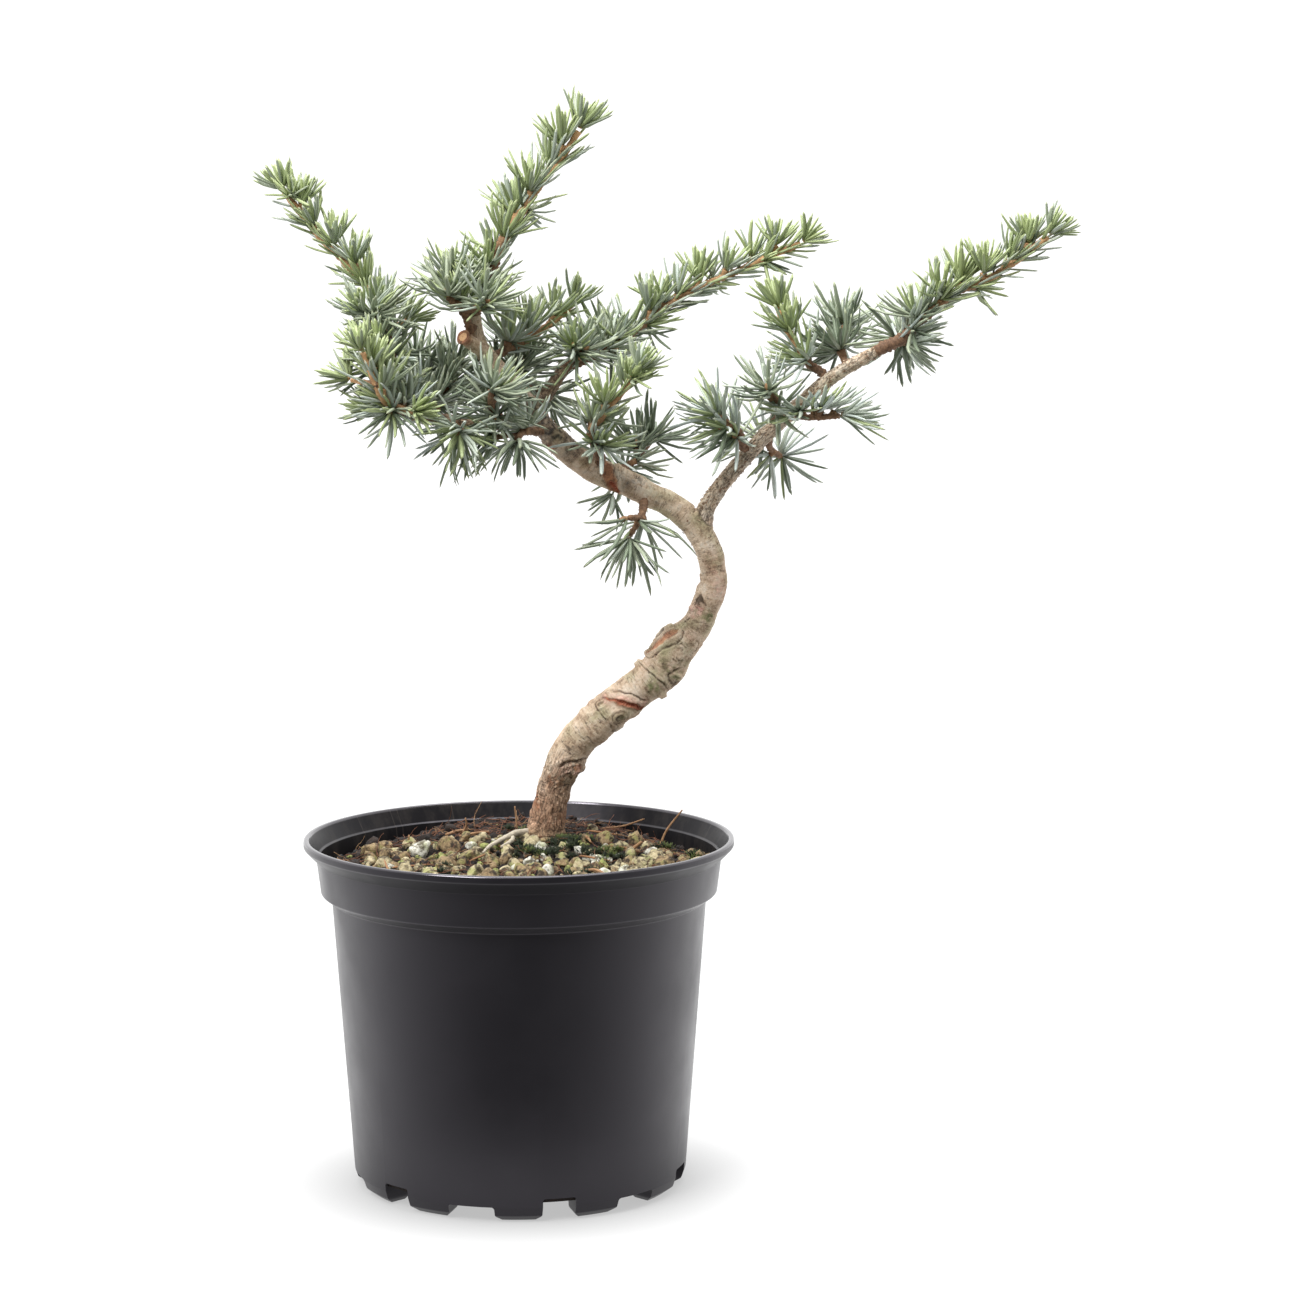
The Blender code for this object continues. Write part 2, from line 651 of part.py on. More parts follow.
def tuft_mesh(tuft, room, random_source):
    """A small ball with one slim needle drawn out of each of its faces."""
    centre, facing, needle, leads = tuft
    work = bmesh.new()
    bmesh.ops.create_icosphere(work, subdivisions=1, radius=TUFT_R * MM)
    spin = Matrix.Rotation(random_source.uniform(0.0, math.tau), 3, "Z")
    tilt = Matrix.Rotation(random_source.uniform(0.0, math.tau), 3, "X")
    bmesh.ops.rotate(work, verts=work.verts, cent=(0.0, 0.0, 0.0), matrix=tilt @ spin)
    points = bmesh.ops.poke(work, faces=work.faces[:])["verts"]
    leader = max(points, key=lambda point: point.co.dot(facing + Vector((0.0, 0.0, 1.0))))
    grown = []
    for point in points:
        direction = (point.co.normalized() + facing * TUFT_LEAN).normalized()
        length = needle * random_source.uniform(1.0 - NEEDLE_SPREAD, 1.0 + NEEDLE_SPREAD / 2)
        if leads and point is leader:
            length = needle * LEADER_LENGTH
        length = room.free_length(centre, direction, length)
        if length > SHORTEST_NEEDLE * MM:
            point.co = direction * length
            steps = int(length / (NEEDLE_CHECK_STEP * MM))
            grown += [centre + direction * (length * k / steps) for k in range(1, steps + 1)]
    for place in grown:
        room.add(place, NEEDLE_MARGIN)
    room.add(centre, TUFT_MARGIN)
    bmesh.ops.translate(work, verts=work.verts, vec=centre)
    mesh = bpy.data.meshes.new("tuft")
    work.to_mesh(mesh)
    work.free()
    return mesh


def keep_largest_body(mesh):
    """Drop loose scraps and fill sealed hollows by keeping only the biggest closed body."""
    work = bmesh.new()
    work.from_mesh(mesh)
    bmesh.ops.triangulate(work, faces=work.faces)
    unseen = set(work.faces)
    bodies = []
    while unseen:
        found = {unseen.pop()}
        queue = list(found)
        while queue:
            face = queue.pop()
            for edge in face.edges:
                for other in edge.link_faces:
                    if other in unseen:
                        unseen.discard(other)
                        found.add(other)
                        queue.append(other)
        bodies.append(found)
    biggest = max(bodies, key=len)
    spare = [face for body in bodies if body is not biggest for face in body]
    bmesh.ops.delete(work, geom=spare, context="FACES")
    work.to_mesh(mesh)
    work.free()


def make_mass(name, lines, tufts, room, random_source, collection, material):
    """One mass of foliage: its twigs and tufts joined to its main twig."""
    body = tube(name, lines[0], TWIG_SIDES, collection)
    pieces = new_collection(name + "_pieces")
    for line in lines[1:]:
        tube(name + "_twig", line, TWIG_SIDES, pieces)
    for tuft in reversed(tufts):
        mesh_object(name + "_tuft", tuft_mesh(tuft, room, random_source), pieces)
    union = body.modifiers.new("union", "BOOLEAN")
    union.operation = "UNION"
    union.operand_type = "COLLECTION"
    union.collection = pieces
    union.solver = "MANIFOLD"
    mesh = evaluated_mesh(body)
    body.modifiers.clear()
    body.data = mesh
    for piece in list(pieces.objects):
        bpy.data.objects.remove(piece, do_unlink=True)
    bpy.data.collections.remove(pieces)
    keep_largest_body(mesh)
    mesh.materials.clear()
    mesh.materials.append(material)


def make_foliage(limbs, collection, material):
    """Every mass of needles, each in the space that lies nearest to its own twigs."""
    random_source = random.Random(SEED)
    lines = {name: twig_lines(limbs, mass) for name, mass in MASSES.items()}
    tufts = {name: tufts_of(lines[name], MASSES[name], random_source) for name in MASSES}
    bones = {name: skeleton(lines[name], tufts[name]) for name in MASSES}
    for name in MASSES:
        rest = [point for other, points in bones.items() if other != name for point in points]
        room = Room(bones[name], rest, limbs, lines[name])
        make_mass(name, lines[name], tufts[name], room, random_source, collection, material)


def main():
    clear_scene()
    plant = new_collection("potted_cedar")
    cutters = new_collection("cutters")
    pot_black = principled("pot_black", POT_BLACK, 0.42)
    soil_tan = principled("soil_mix", SOIL_TAN, 0.9)
    bark_tan = principled("bark", BARK_TAN, 0.85)
    needle_green = principled("needles", NEEDLE_BLUE_GREEN, 0.5)
    make_pot(plant, cutters, pot_black)
    make_soil(plant, soil_tan)
    limbs = limb_lines()
    make_limbs(limbs, plant, cutters, bark_tan)
    make_foliage(limbs, plant, needle_green)


main()
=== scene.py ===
"""The looks of a young blue cedar in a black nursery pot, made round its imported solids."""

import json
import math
import random

import bmesh
import bpy
import numpy as np
from mathutils import Matrix, Vector, noise

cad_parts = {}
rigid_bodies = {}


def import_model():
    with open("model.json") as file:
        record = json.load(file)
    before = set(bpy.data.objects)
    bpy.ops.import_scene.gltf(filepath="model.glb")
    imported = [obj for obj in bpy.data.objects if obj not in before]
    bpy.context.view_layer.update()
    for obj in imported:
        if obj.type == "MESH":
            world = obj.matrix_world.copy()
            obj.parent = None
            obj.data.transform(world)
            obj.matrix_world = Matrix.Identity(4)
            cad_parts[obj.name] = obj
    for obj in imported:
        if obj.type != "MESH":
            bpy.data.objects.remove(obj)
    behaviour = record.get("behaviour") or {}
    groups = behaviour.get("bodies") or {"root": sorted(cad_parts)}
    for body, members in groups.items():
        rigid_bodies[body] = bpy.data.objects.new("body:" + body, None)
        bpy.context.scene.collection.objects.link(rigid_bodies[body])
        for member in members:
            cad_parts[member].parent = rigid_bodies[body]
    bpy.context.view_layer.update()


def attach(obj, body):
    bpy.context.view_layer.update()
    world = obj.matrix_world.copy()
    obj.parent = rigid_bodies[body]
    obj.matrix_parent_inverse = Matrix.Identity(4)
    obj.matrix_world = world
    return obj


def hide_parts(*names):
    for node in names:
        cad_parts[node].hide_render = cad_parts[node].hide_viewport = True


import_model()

MM = 0.001
SEED = 2024
GAP = 0.3
UP = Vector((0.0, 0.0, 1.0))
GOLDEN_ANGLE = math.radians(137.5)

# Pot: the same sizes as the solid, with its corners rounded
POT_RIM_R = 95.0
POT_MOUTH_R = 92.8
POT_HEIGHT = 154.5
POT_LIP_DROP = 3.0
POT_LIP_CURL_R = 93.0
POT_LIP_CURL_Z = 149.4
POT_BAND_TOP_R = 89.4
POT_BAND_TOP_Z = 145.8
POT_BAND_BOTTOM_R = 87.5
POT_BAND_BOTTOM_Z = 131.0
POT_BODY_TOP_R = 82.7
POT_BODY_TOP_Z = 127.6
POT_BODY_BOTTOM_R = 73.8
POT_BODY_BOTTOM_Z = 6.5
POT_WALL = 1.5
POT_FOOT_R = 68.9
POT_FOOT_ROUND = 2.6
POT_FOOT_INNER_R = 61.0
POT_FLOOR_UNDER_Z = 6.0
POT_FLOOR_TOP_Z = 8.0
POT_PAD_R = 15.0
POT_PAD_FLARE = 3.5
POT_PAD_THICKNESS = 2.0
POT_STEP_DROP = 2.0
POT_FOOT_DRAFT = 1.0
POT_STEPS = 192
LEDGE_R = 88.8
LEDGE_Z = 147.4
LEDGE_LOW_Z = 146.8
RIM_GLOSS_Z = 153.4
SEAM_ANGLES = (20.0, 110.0, 127.6, 130.0, 143.0, 300.0)

# Feet: six pairs, with a drain slot inside each pair and a plain gap between pairs
FOOT_PAIRS = 6
FIRST_PAIR_ANGLE = 13.0
DRAIN_SLOT_WIDTH = 14.5
DRAIN_SLOT_TOP = 10.2
PLAIN_GAP_WIDTH = 20.5
PLAIN_GAP_TOP = 6.6
GAP_CUTTER_DEPTH = 24.0
FOOT_CORNER = 2.2
CORNER_STEPS = 5
PLASTIC = (0.0062, 0.0058, 0.0072)
INNER_PLASTIC = (0.0075, 0.0072, 0.008)

# Soil: almost flat, with a low mound round the foot of the trunk
SOIL_EDGE_Z = 144.6
SOIL_MOUND_Z = 147.5
SOIL_MOUND_FLAT_R = 22.0
SOIL_MOUND_FALL = 48.0
SOIL_WAVE_HEIGHT = 0.7
SOIL_WAVE_LENGTH = 31.0
SOIL_RING_STEP = 0.9
SOIL_STEPS = 384
SAG_START_R = 58.0
SAG_WIDTH = 28.0

# Height of the soil at the wall, by angle from the right and anticlockwise from above
WALL_ANGLES = (-180.0, -130.0, -50.0, 0.0, 24.0, 44.0, 55.0, 66.0, 108.0, 128.0, 145.0, 180.0)
WALL_HEIGHTS = (141.5, 144.0, 144.0, 142.5, 140.3, 140.3, 143.3, 146.6, 146.6, 142.4, 139.6, 141.5)

# Limbs: stations of (x, y, z, radius) along each one, from its foot to its tip
TRUNK_STATIONS = [
    (12, 42, 147.8, 9.0), (12, 42, 150.3, 8.4), (14, 40, 161, 7.3), (17, 39, 173, 7.2),
    (20, 37, 180, 7.9), (25, 36, 190, 8.2), (34, 34, 199, 8.6), (43, 33, 207, 8.8),
    (54, 32, 216, 8.4), (64, 31, 224, 9.3), (71, 29, 235, 9.1), (79, 28, 244, 6.7),
    (84, 27, 254, 6.6), (87, 25, 264, 5.9), (86, 23, 275, 5.7), (81, 21, 286, 5.7),
    (75, 20, 294, 5.8),
]
LEFT_BOUGH_STATIONS = [
    (75, 20, 294, 5.8), (67, 19, 300, 5.6), (57, 18, 305, 5.7), (45, 16, 311, 5.9),
    (33, 14, 316, 5.7), (25, 12, 322, 5.4), (16, 9, 330, 5.0), (6, 5, 343, 4.4),
    (-5, 1, 357, 3.9), (-11, 0, 364, 3.7), (-17, -2, 373, 3.4), (-19, -3, 385, 3.0),
]
RIGHT_BOUGH_STATIONS = [
    (81, 21, 289, 4.0), (84, 20, 299, 3.7), (90, 18, 308, 3.5), (98, 15, 318, 3.4),
    (108, 10, 330, 3.3), (122, 5, 343, 3.2), (135, 0, 355, 2.9), (143, -4, 361, 2.8),
    (157, -8, 369, 2.4),
]
LEFT_LIMB_STATIONS = [
    (6, 5, 343, 3.2), (-4, 1, 338, 2.9), (-16, -8, 337, 2.7), (-28, -13, 339, 2.6),
    (-42, -18, 341, 2.5), (-52, -22, 345, 2.3),
]
INNER_LIMB_STATIONS = [
    (5, 5, 342, 3.3), (11, 11, 347, 3.3), (16, 16, 353, 2.9), (20, 22, 359, 2.4),
]
CUT_STUB_STATIONS = [(-13, -1, 367, 3.2), (-18, -7, 371, 3.0), (-23, -13, 375, 2.8)]

# Needles and the twigs that carry them, by the same rule as the solids
NEEDLE = 22.0
YOUNG_NEEDLE = 14.5
HANGING_NEEDLE = 26.0
SPUR_LEAN = 0.7
TUFT_OFFSET = 2.3
TUFT_SPACING = 12.0
FIRST_TUFT = 8.0
TWIG_TIP_R = 0.8
SIDE_TWIG_R = 1.2
LIMB_STEP = 8.0
TWIG_STEP = 9.0

# Masses: the limb each grows from, whether from its tip, its root radius, its main twig and its
# side twigs as points from root to tip, and its needle length at the root and at the tip
TIP = "tip"
SIDE = "side"
MASSES = {
    "far_left_shoot": ("left_limb", TIP, 2.2, [
        [(-52, -22, 345), (-54, -16, 360), (-57, -8, 378), (-63, -4, 394), (-74, -2, 407),
         (-85, -1, 418), (-92, 0, 427), (-100, 2, 437)],
        [(-55, -14, 364), (-60, -28, 371)],
        [(-57, -9, 376), (-49, 2, 381)],
        [(-58, -8, 379), (-66, -17, 385)],
    ], NEEDLE, YOUNG_NEEDLE),
    "front_left_tuft": ("left_limb", SIDE, 1.6, [
        [(-46, -19, 343), (-53, -36, 347), (-57, -43, 351), (-62, -48, 363), (-65, -50, 370)],
        [(-54, -38, 348), (-44, -46, 345)],
        [(-52, -34, 347), (-61, -32, 345)],
        [(-59, -45, 356), (-70, -38, 358)],
    ], NEEDLE, YOUNG_NEEDLE),
    "lower_left_tuft": ("left_limb", SIDE, 1.5, [
        [(-28, -13, 339), (-25, -26, 336), (-24, -34, 337)],
    ], NEEDLE, NEEDLE),
    "left_back_tuft": ("left_limb", SIDE, 1.5, [
        [(-33, -15, 340), (-37, 8, 345), (-42, 27, 352), (-46, 38, 360)],
        [(-37, 9, 345), (-27, 22, 361)],
    ], NEEDLE, NEEDLE),
    "crown_tuft": ("left_bough", SIDE, 1.5, [
        [(-18, -3, 379), (-23, -12, 386), (-29, -20, 392)],
        [(-21, -9, 384), (-14, -26, 389)],
        [(-22, -10, 385), (-28, -4, 399)],
    ], NEEDLE, NEEDLE),
    "top_shoot": ("left_bough", TIP, 2.6, [
        [(-19, -3, 385), (-14, -2, 392), (-11, 0, 403), (-7, 0, 414), (2, 2, 428), (6, 2, 434),
         (15, 4, 446), (22, 5, 455), (27, 6, 463)],
    ], NEEDLE, 18.0),
    "inner_shoot": ("left_bough", SIDE, 1.5, [
        [(-11, 0, 365), (-3, 12, 369), (7, 20, 374), (17, 27, 381), (24, 31, 387)],
    ], NEEDLE, YOUNG_NEEDLE),
    "right_top_shoot": ("inner_limb", TIP, 2.1, [
        [(20, 22, 359), (28, 25, 363), (37, 27, 367), (48, 30, 373), (60, 32, 382),
         (79, 34, 394), (96, 36, 401), (111, 36, 408), (126, 36, 414)],
        [(27, 24, 363), (25, 9, 369)],
        [(40, 28, 369), (38, 42, 374)],
    ], NEEDLE, YOUNG_NEEDLE),
    "front_centre_tuft": ("left_limb", SIDE, 1.5, [
        [(-9, -3, 338), (-11, -22, 346), (-11, -37, 353)],
    ], NEEDLE, NEEDLE),
    "lower_centre_tuft": ("left_bough", SIDE, 1.5, [
        [(10, 7, 337), (3, -10, 334), (0, -20, 332)],
        [(3, -10, 334), (-9, -15, 332)],
    ], NEEDLE, NEEDLE),
    "centre_back_tuft": ("left_bough", SIDE, 1.6, [
        [(-2, 2, 354), (0, 25, 357), (4, 46, 362)],
        [(0, 24, 357), (14, 40, 346)],
        [(0, 27, 357), (-17, 43, 352)],
    ], NEEDLE, NEEDLE),
    "middle_shoot": ("left_bough", SIDE, 1.6, [
        [(33, 14, 316), (32, -2, 333), (36, -8, 340), (45, -14, 351), (52, -18, 360)],
    ], NEEDLE, YOUNG_NEEDLE),
    "back_fan": ("left_bough", SIDE, 1.5, [
        [(48, 17, 310), (51, 35, 317), (60, 45, 326)],
    ], NEEDLE, NEEDLE),
    "hanging_tuft": ("left_bough", SIDE, 1.5, [
        [(54, 17, 306), (54, 5, 295), (49, 0, 288)],
        [(54, 6, 297), (49, -5, 296)],
    ], HANGING_NEEDLE, HANGING_NEEDLE),
    "bough_left_tuft": ("right_bough", SIDE, 1.4, [
        [(105, 11, 326), (97, 2, 333), (87, -6, 340)],
    ], NEEDLE, NEEDLE),
    "bough_small_tuft": ("right_bough", SIDE, 1.3, [
        [(117, 7, 339), (113, -5, 346), (109, -13, 351)],
    ], NEEDLE, NEEDLE),
    "bough_upper_shoot": ("right_bough", SIDE, 1.6, [
        [(133, 1, 354), (128, 6, 362), (123, 9, 369), (118, 11, 377), (115, 13, 385)],
    ], NEEDLE, 16.0),
    "bough_back_tuft": ("right_bough", SIDE, 1.4, [
        [(141, -4, 361), (143, 11, 366), (144, 20, 378)],
    ], NEEDLE, NEEDLE),
    "bough_end_shoot": ("right_bough", TIP, 2.2, [
        [(157, -8, 369), (165, -10, 373), (177, -12, 384), (189, -14, 394), (202, -15, 399),
         (214, -17, 407), (228, -20, 418)],
        [(163, -9, 372), (171, 6, 373)],
    ], NEEDLE, YOUNG_NEEDLE),
    "bough_lower_shoot": ("right_bough", SIDE, 1.4, [
        [(122, 5, 343), (126, -10, 340), (139, -17, 341)],
    ], NEEDLE, NEEDLE),
    "bough_under_tuft": ("right_bough", SIDE, 1.4, [
        [(108, 10, 330), (112, 25, 324), (117, 33, 320)],
    ], NEEDLE, NEEDLE),
}
WOOD_NODES = ("trunk", "left_bough", "right_bough", "left_limb", "inner_limb", "cut_stub")

# Needle shape: share of the length, then half width as a share of the widest
NEEDLE_RINGS = ((0.0, 0.6), (0.2, 0.95), (0.6, 1.0), (0.9, 0.74))
NEEDLE_FLATNESS = 0.68
OLD_HALF_WIDTH = 0.96
YOUNG_HALF_WIDTH = 0.93
YOUNG_LIMIT = 18.5
YOUNG_SHARE = 0.25
OLD_SPRAY = 30
YOUNG_SPRAY = 29
SMALL_SPRAY = 13
SINGLE_SPACING = 2.1
SHOOT_R = 1.45
TWIG_R = 1.05
CLOSE_SINGLES = {"right_top_shoot": 1.0, "bough_end_shoot": 1.6, "far_left_shoot": 3.0,
                 "top_shoot": 3.0}
COUNT_SHARES = {
    "right_top_shoot": 0.6, "bough_left_tuft": 0.7, "bough_small_tuft": 0.7,
    "bough_lower_shoot": 1.3, "front_centre_tuft": 0.9, "lower_centre_tuft": 0.8,
    "centre_back_tuft": 0.7, "bough_under_tuft": 0.8,
}

# Masses whose last tuft leans another way than its twig, because it turns to the light
TIP_LEANS = {
    "front_centre_tuft": (0.55, -0.35, 0.75),
    "crown_tuft": (-0.25, -0.5, 0.85),
    "lower_left_tuft": (-0.5, -0.6, -0.5),
    "lower_centre_tuft": (0.0, -0.45, -0.85),
    "bough_small_tuft": (-0.3, -0.55, 0.75),
    "bough_left_tuft": (-0.7, -0.3, 0.65),
}

# The hanging tuft's sprays: facing, spread in degrees and count; then a small one on its own
HANGING_SPRAYS = (((0.1, -0.5, -0.6), (50.0, 100.0), 22), ((-0.25, -0.3, -0.9), (8.0, 84.0), 34),
                  ((-0.9, -0.3, -0.1), (15.0, 60.0), 7))
SMALL_HANGING = ((41.5, 10.0, 305.0), (-0.45, -0.45, -0.77), (10.0, 62.0), 11)
SMALL_NEEDLE = 15.5
HIGHEST = {"hanging_tuft": 0.0, "bough_lower_shoot": 0.5}
CROWN_DROOP = -0.3

# Camera: fitted to the photo, as a place, angles in degrees and a lens in millimetres
CAMERA_PLACE = (0.0, -1.59319, 0.44410)
CAMERA_TILT = 82.605
CAMERA_TURN = -2.079
CAMERA_LENS = 101.26
TABLE_R = 0.14


def new_object(name, mesh):
    made = bpy.data.objects.new(name, mesh)
    bpy.context.scene.collection.objects.link(made)
    return made


def evaluated_mesh(source):
    """The mesh of an object with its modifiers."""
    bpy.context.view_layer.update()
    graph = bpy.context.evaluated_depsgraph_get()
    return bpy.data.meshes.new_from_object(source.evaluated_get(graph))


def finish_piece(piece, slot, *nodes):
    """Ride on the plant's body and stand for nodes; the slot is not used."""
    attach(piece, "root")
    if nodes:
        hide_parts(*nodes)
    return piece


class Finish:
    """A Principled material and short ways to drive its inputs by nodes."""

    def __init__(self, name, colour=(0.5, 0.5, 0.5), roughness=0.5, **inputs):
        self.material = bpy.data.materials.new(name)
        self.material.use_nodes = True
        self.tree = self.material.node_tree
        self.shader = self.tree.nodes["Principled BSDF"]
        self.shader.inputs["Base Color"].default_value = (*colour, 1.0)
        self.shader.inputs["Roughness"].default_value = roughness
        for name, value in inputs.items():
            self.shader.inputs[name.replace("_", " ")].default_value = value

    def node(self, kind, **settings):
        made = self.tree.nodes.new(kind)
        for name, value in settings.items():
            setattr(made, name, value)
        return made

    def link(self, source, target):
        self.tree.links.new(source, target)

    def place(self):
        """The place on the object, in metres."""
        return self.node("ShaderNodeTexCoord").outputs["Object"]

    def stretched(self, scale):
        mapping = self.node("ShaderNodeMapping")
        mapping.inputs["Scale"].default_value = scale
        self.link(self.place(), mapping.inputs["Vector"])
        return mapping.outputs["Vector"]

    def noise(self, size_mm, detail=3.0, roughness=0.55, vector=None, distortion=0.0):
        """Noise whose features are about size_mm across, as a value from 0 to 1."""
        made = self.node("ShaderNodeTexNoise")
        made.inputs["Scale"].default_value = 1.0 / (size_mm * MM)
        made.inputs["Detail"].default_value = detail
        made.inputs["Roughness"].default_value = roughness
        made.inputs["Distortion"].default_value = distortion
        self.link(vector or self.place(), made.inputs["Vector"])
        return made.outputs["Fac"]

    def cells(self, size_mm, vector=None, feature="F1", output="Distance"):
        made = self.node("ShaderNodeTexVoronoi", feature=feature)
        made.inputs["Scale"].default_value = 1.0 / (size_mm * MM)
        self.link(vector or self.place(), made.inputs["Vector"])
        return made.outputs[output]

    def attribute(self, name):
        return self.node("ShaderNodeAttribute", attribute_name=name).outputs["Fac"]

    def spread(self, value, low, high, to_low=0.0, to_high=1.0):
        """The value from low to high stretched over to_low to to_high, and clamped."""
        made = self.node("ShaderNodeMapRange")
        made.inputs["From Min"].default_value = low
        made.inputs["From Max"].default_value = high
        made.inputs["To Min"].default_value = to_low
        made.inputs["To Max"].default_value = to_high
        self.link(value, made.inputs["Value"])
        return made.outputs["Result"]

    def ramp(self, value, *stops):
        made = self.node("ShaderNodeValToRGB")
        elements = made.color_ramp.elements
        while len(elements) < len(stops):
            elements.new(1.0)
        for element, (place, colour) in zip(elements, stops):
            element.position = place
            element.color = (*colour, 1.0)
        self.link(value, made.inputs["Fac"])
        return made.outputs["Color"]

    def mix(self, share, first, second):
        """A blend of two colours, each an output or a colour."""
        made = self.node("ShaderNodeMix", data_type="RGBA")
        self.link(share, made.inputs["Factor"])
        for side, name in ((first, "A"), (second, "B")):
            socket = next(i for i in made.inputs if i.name == name and i.type == "RGBA")
            if isinstance(side, tuple):
                socket.default_value = (*side, 1.0)
            else:
                self.link(side, socket)
        return next(o for o in made.outputs if o.type == "RGBA")

    def math(self, operation, first, second):
        made = self.node("ShaderNodeMath", operation=operation)
        for index, side in enumerate((first, second)):
            if isinstance(side, float):
                made.inputs[index].default_value = side
            else:
                self.link(side, made.inputs[index])
        return made.outputs["Value"]

    def colour(self, output):
        self.link(output, self.shader.inputs["Base Color"])

    def roughness(self, output):
        self.link(output, self.shader.inputs["Roughness"])

    def bump(self, height, depth_mm, strength=1.0):
        made = self.node("ShaderNodeBump")
        made.inputs["Strength"].default_value = strength
        made.inputs["Distance"].default_value = depth_mm * MM
        self.link(height, made.inputs["Height"])
        before = self.shader.inputs["Normal"]
        if before.is_linked:
            self.link(before.links[0].from_socket, made.inputs["Normal"])
        self.link(made.outputs["Normal"], before)


def metres(station):
    return Vector([value * MM for value in station])


def spline_point(p0, p1, p2, p3, t):
    """A point between p1 and p2 on a centripetal spline through four stations."""
    knots = [0.0]
    for a, b in ((p0, p1), (p1, p2), (p2, p3)):
        knots.append(knots[-1] + math.sqrt((b.xyz - a.xyz).length))
    k0, k1, k2, k3 = knots
    u = k1 + t * (k2 - k1)
    a1 = p0 * ((k1 - u) / (k1 - k0)) + p1 * ((u - k0) / (k1 - k0))
    a2 = p1 * ((k2 - u) / (k2 - k1)) + p2 * ((u - k1) / (k2 - k1))
    a3 = p2 * ((k3 - u) / (k3 - k2)) + p3 * ((u - k2) / (k3 - k2))
    b1 = a1 * ((k2 - u) / (k2 - k0)) + a2 * ((u - k0) / (k2 - k0))
    b2 = a2 * ((k3 - u) / (k3 - k1)) + a3 * ((u - k1) / (k3 - k1))
    return b1 * ((k2 - u) / (k2 - k1)) + b2 * ((u - k1) / (k2 - k1))


def smooth_line(stations, step):
    """Points of (x, y, z, radius) along a smooth line through stations, about step apart."""
    ends = [stations[0] * 2 - stations[1], *stations, stations[-1] * 2 - stations[-2]]
    line = []
    for i in range(1, len(ends) - 2):
        span = (ends[i + 1].xyz - ends[i].xyz).length
        count = max(1, round(span / step))
        for k in range(count):
            line.append(spline_point(ends[i - 1], ends[i], ends[i + 1], ends[i + 2], k / count))
    line.append(ends[-2].copy())
    return line


def limb_stations():
    return {
        "trunk": TRUNK_STATIONS,
        "left_bough": LEFT_BOUGH_STATIONS,
        "right_bough": RIGHT_BOUGH_STATIONS,
        "left_limb": LEFT_LIMB_STATIONS,
        "inner_limb": INNER_LIMB_STATIONS,
        "cut_stub": CUT_STUB_STATIONS,
    }


def limb_lines(step):
    return {
        name: smooth_line([metres(station) for station in limb], step * MM)
        for name, limb in limb_stations().items()
    }


def root_points(limb, where, stations, radius):
    """The first two points of a mass's twig, just clear of the bark that carries it."""
    if where == TIP:
        foot = limb[-1].xyz
        out = (limb[-1].xyz - limb[-2].xyz).normalized()
        reach = GAP * MM
    else:
        nearest = min(range(len(limb)), key=lambda i: (limb[i].xyz - stations[0]).length)
        foot = limb[nearest].xyz
        along = limb[min(nearest + 1, len(limb) - 1)].xyz - limb[max(nearest - 1, 0)].xyz
        along.normalize()
        out = stations[1] - foot
        out -= along * out.dot(along)
        out.normalize()
        reach = limb[nearest].w + GAP * MM
    width = radius * MM
    first = foot + out * reach
    second = foot + out * (reach + width)
    return [Vector((*first, width)), Vector((*second, width))]


def twig_stations(limbs, mass):
    """The stations of a mass's twigs, the main one first, tapering to their tips."""
    limb_name, where, radius, twigs, _, _ = mass
    all_stations = []
    main_line = []
    for number, points in enumerate(twigs):
        places = [metres(point) for point in points]
        start = SIDE_TWIG_R if number else radius
        last = len(places) - 1
        widths = [(start + (TWIG_TIP_R - start) * i / last) * MM for i in range(last + 1)]
        stations = [Vector((*place, width)) for place, width in zip(places, widths)]
        if number == 0:
            root = root_points(limbs[limb_name], where, places, radius)
            stations = root + stations[1:]
            main_line = smooth_line(stations, TWIG_STEP * MM)
        else:
            nearest = min(main_line, key=lambda point: (point.xyz - places[0]).length)
            stations[0] = Vector((*nearest.xyz, widths[0]))
        all_stations.append(stations)
    return all_stations


def point_along(line, distance):
    """The point and the direction at a distance along a line."""
    for a, b in zip(line, line[1:]):
        span = (b.xyz - a.xyz).length
        if distance <= span:
            return a.xyz.lerp(b.xyz, distance / span), (b.xyz - a.xyz).normalized()
        distance -= span
    return line[-1].xyz, (line[-1].xyz - line[-2].xyz).normalized()


def line_length(line):
    return sum((b.xyz - a.xyz).length for a, b in zip(line, line[1:]))


def tufts_of(lines, mass, random_source):
    """The tufts of a mass: twig, foot, centre, way along, way out, needle length, whether last."""
    root_needle, tip_needle = mass[4:6]
    tufts = []
    for number, line in enumerate(lines):
        length = line_length(line)
        count = max(1, round((length / MM - FIRST_TUFT) / TUFT_SPACING) + 1)
        turn = random_source.uniform(0.0, math.tau)
        for i in range(count):
            share = i / (count - 1) if count > 1 else 1.0
            distance = FIRST_TUFT * MM + share * (length - FIRST_TUFT * MM)
            place, way = point_along(line, distance)
            needle = root_needle + (tip_needle - root_needle) * share
            last = i == count - 1
            out = way
            if not last:
                turn += GOLDEN_ANGLE
                out = Matrix.Rotation(turn, 3, way) @ way.orthogonal().normalized()
            centre = place if last else place + out * TUFT_OFFSET * MM
            tufts.append((number, place, centre, way, out, needle, last))
    return tufts


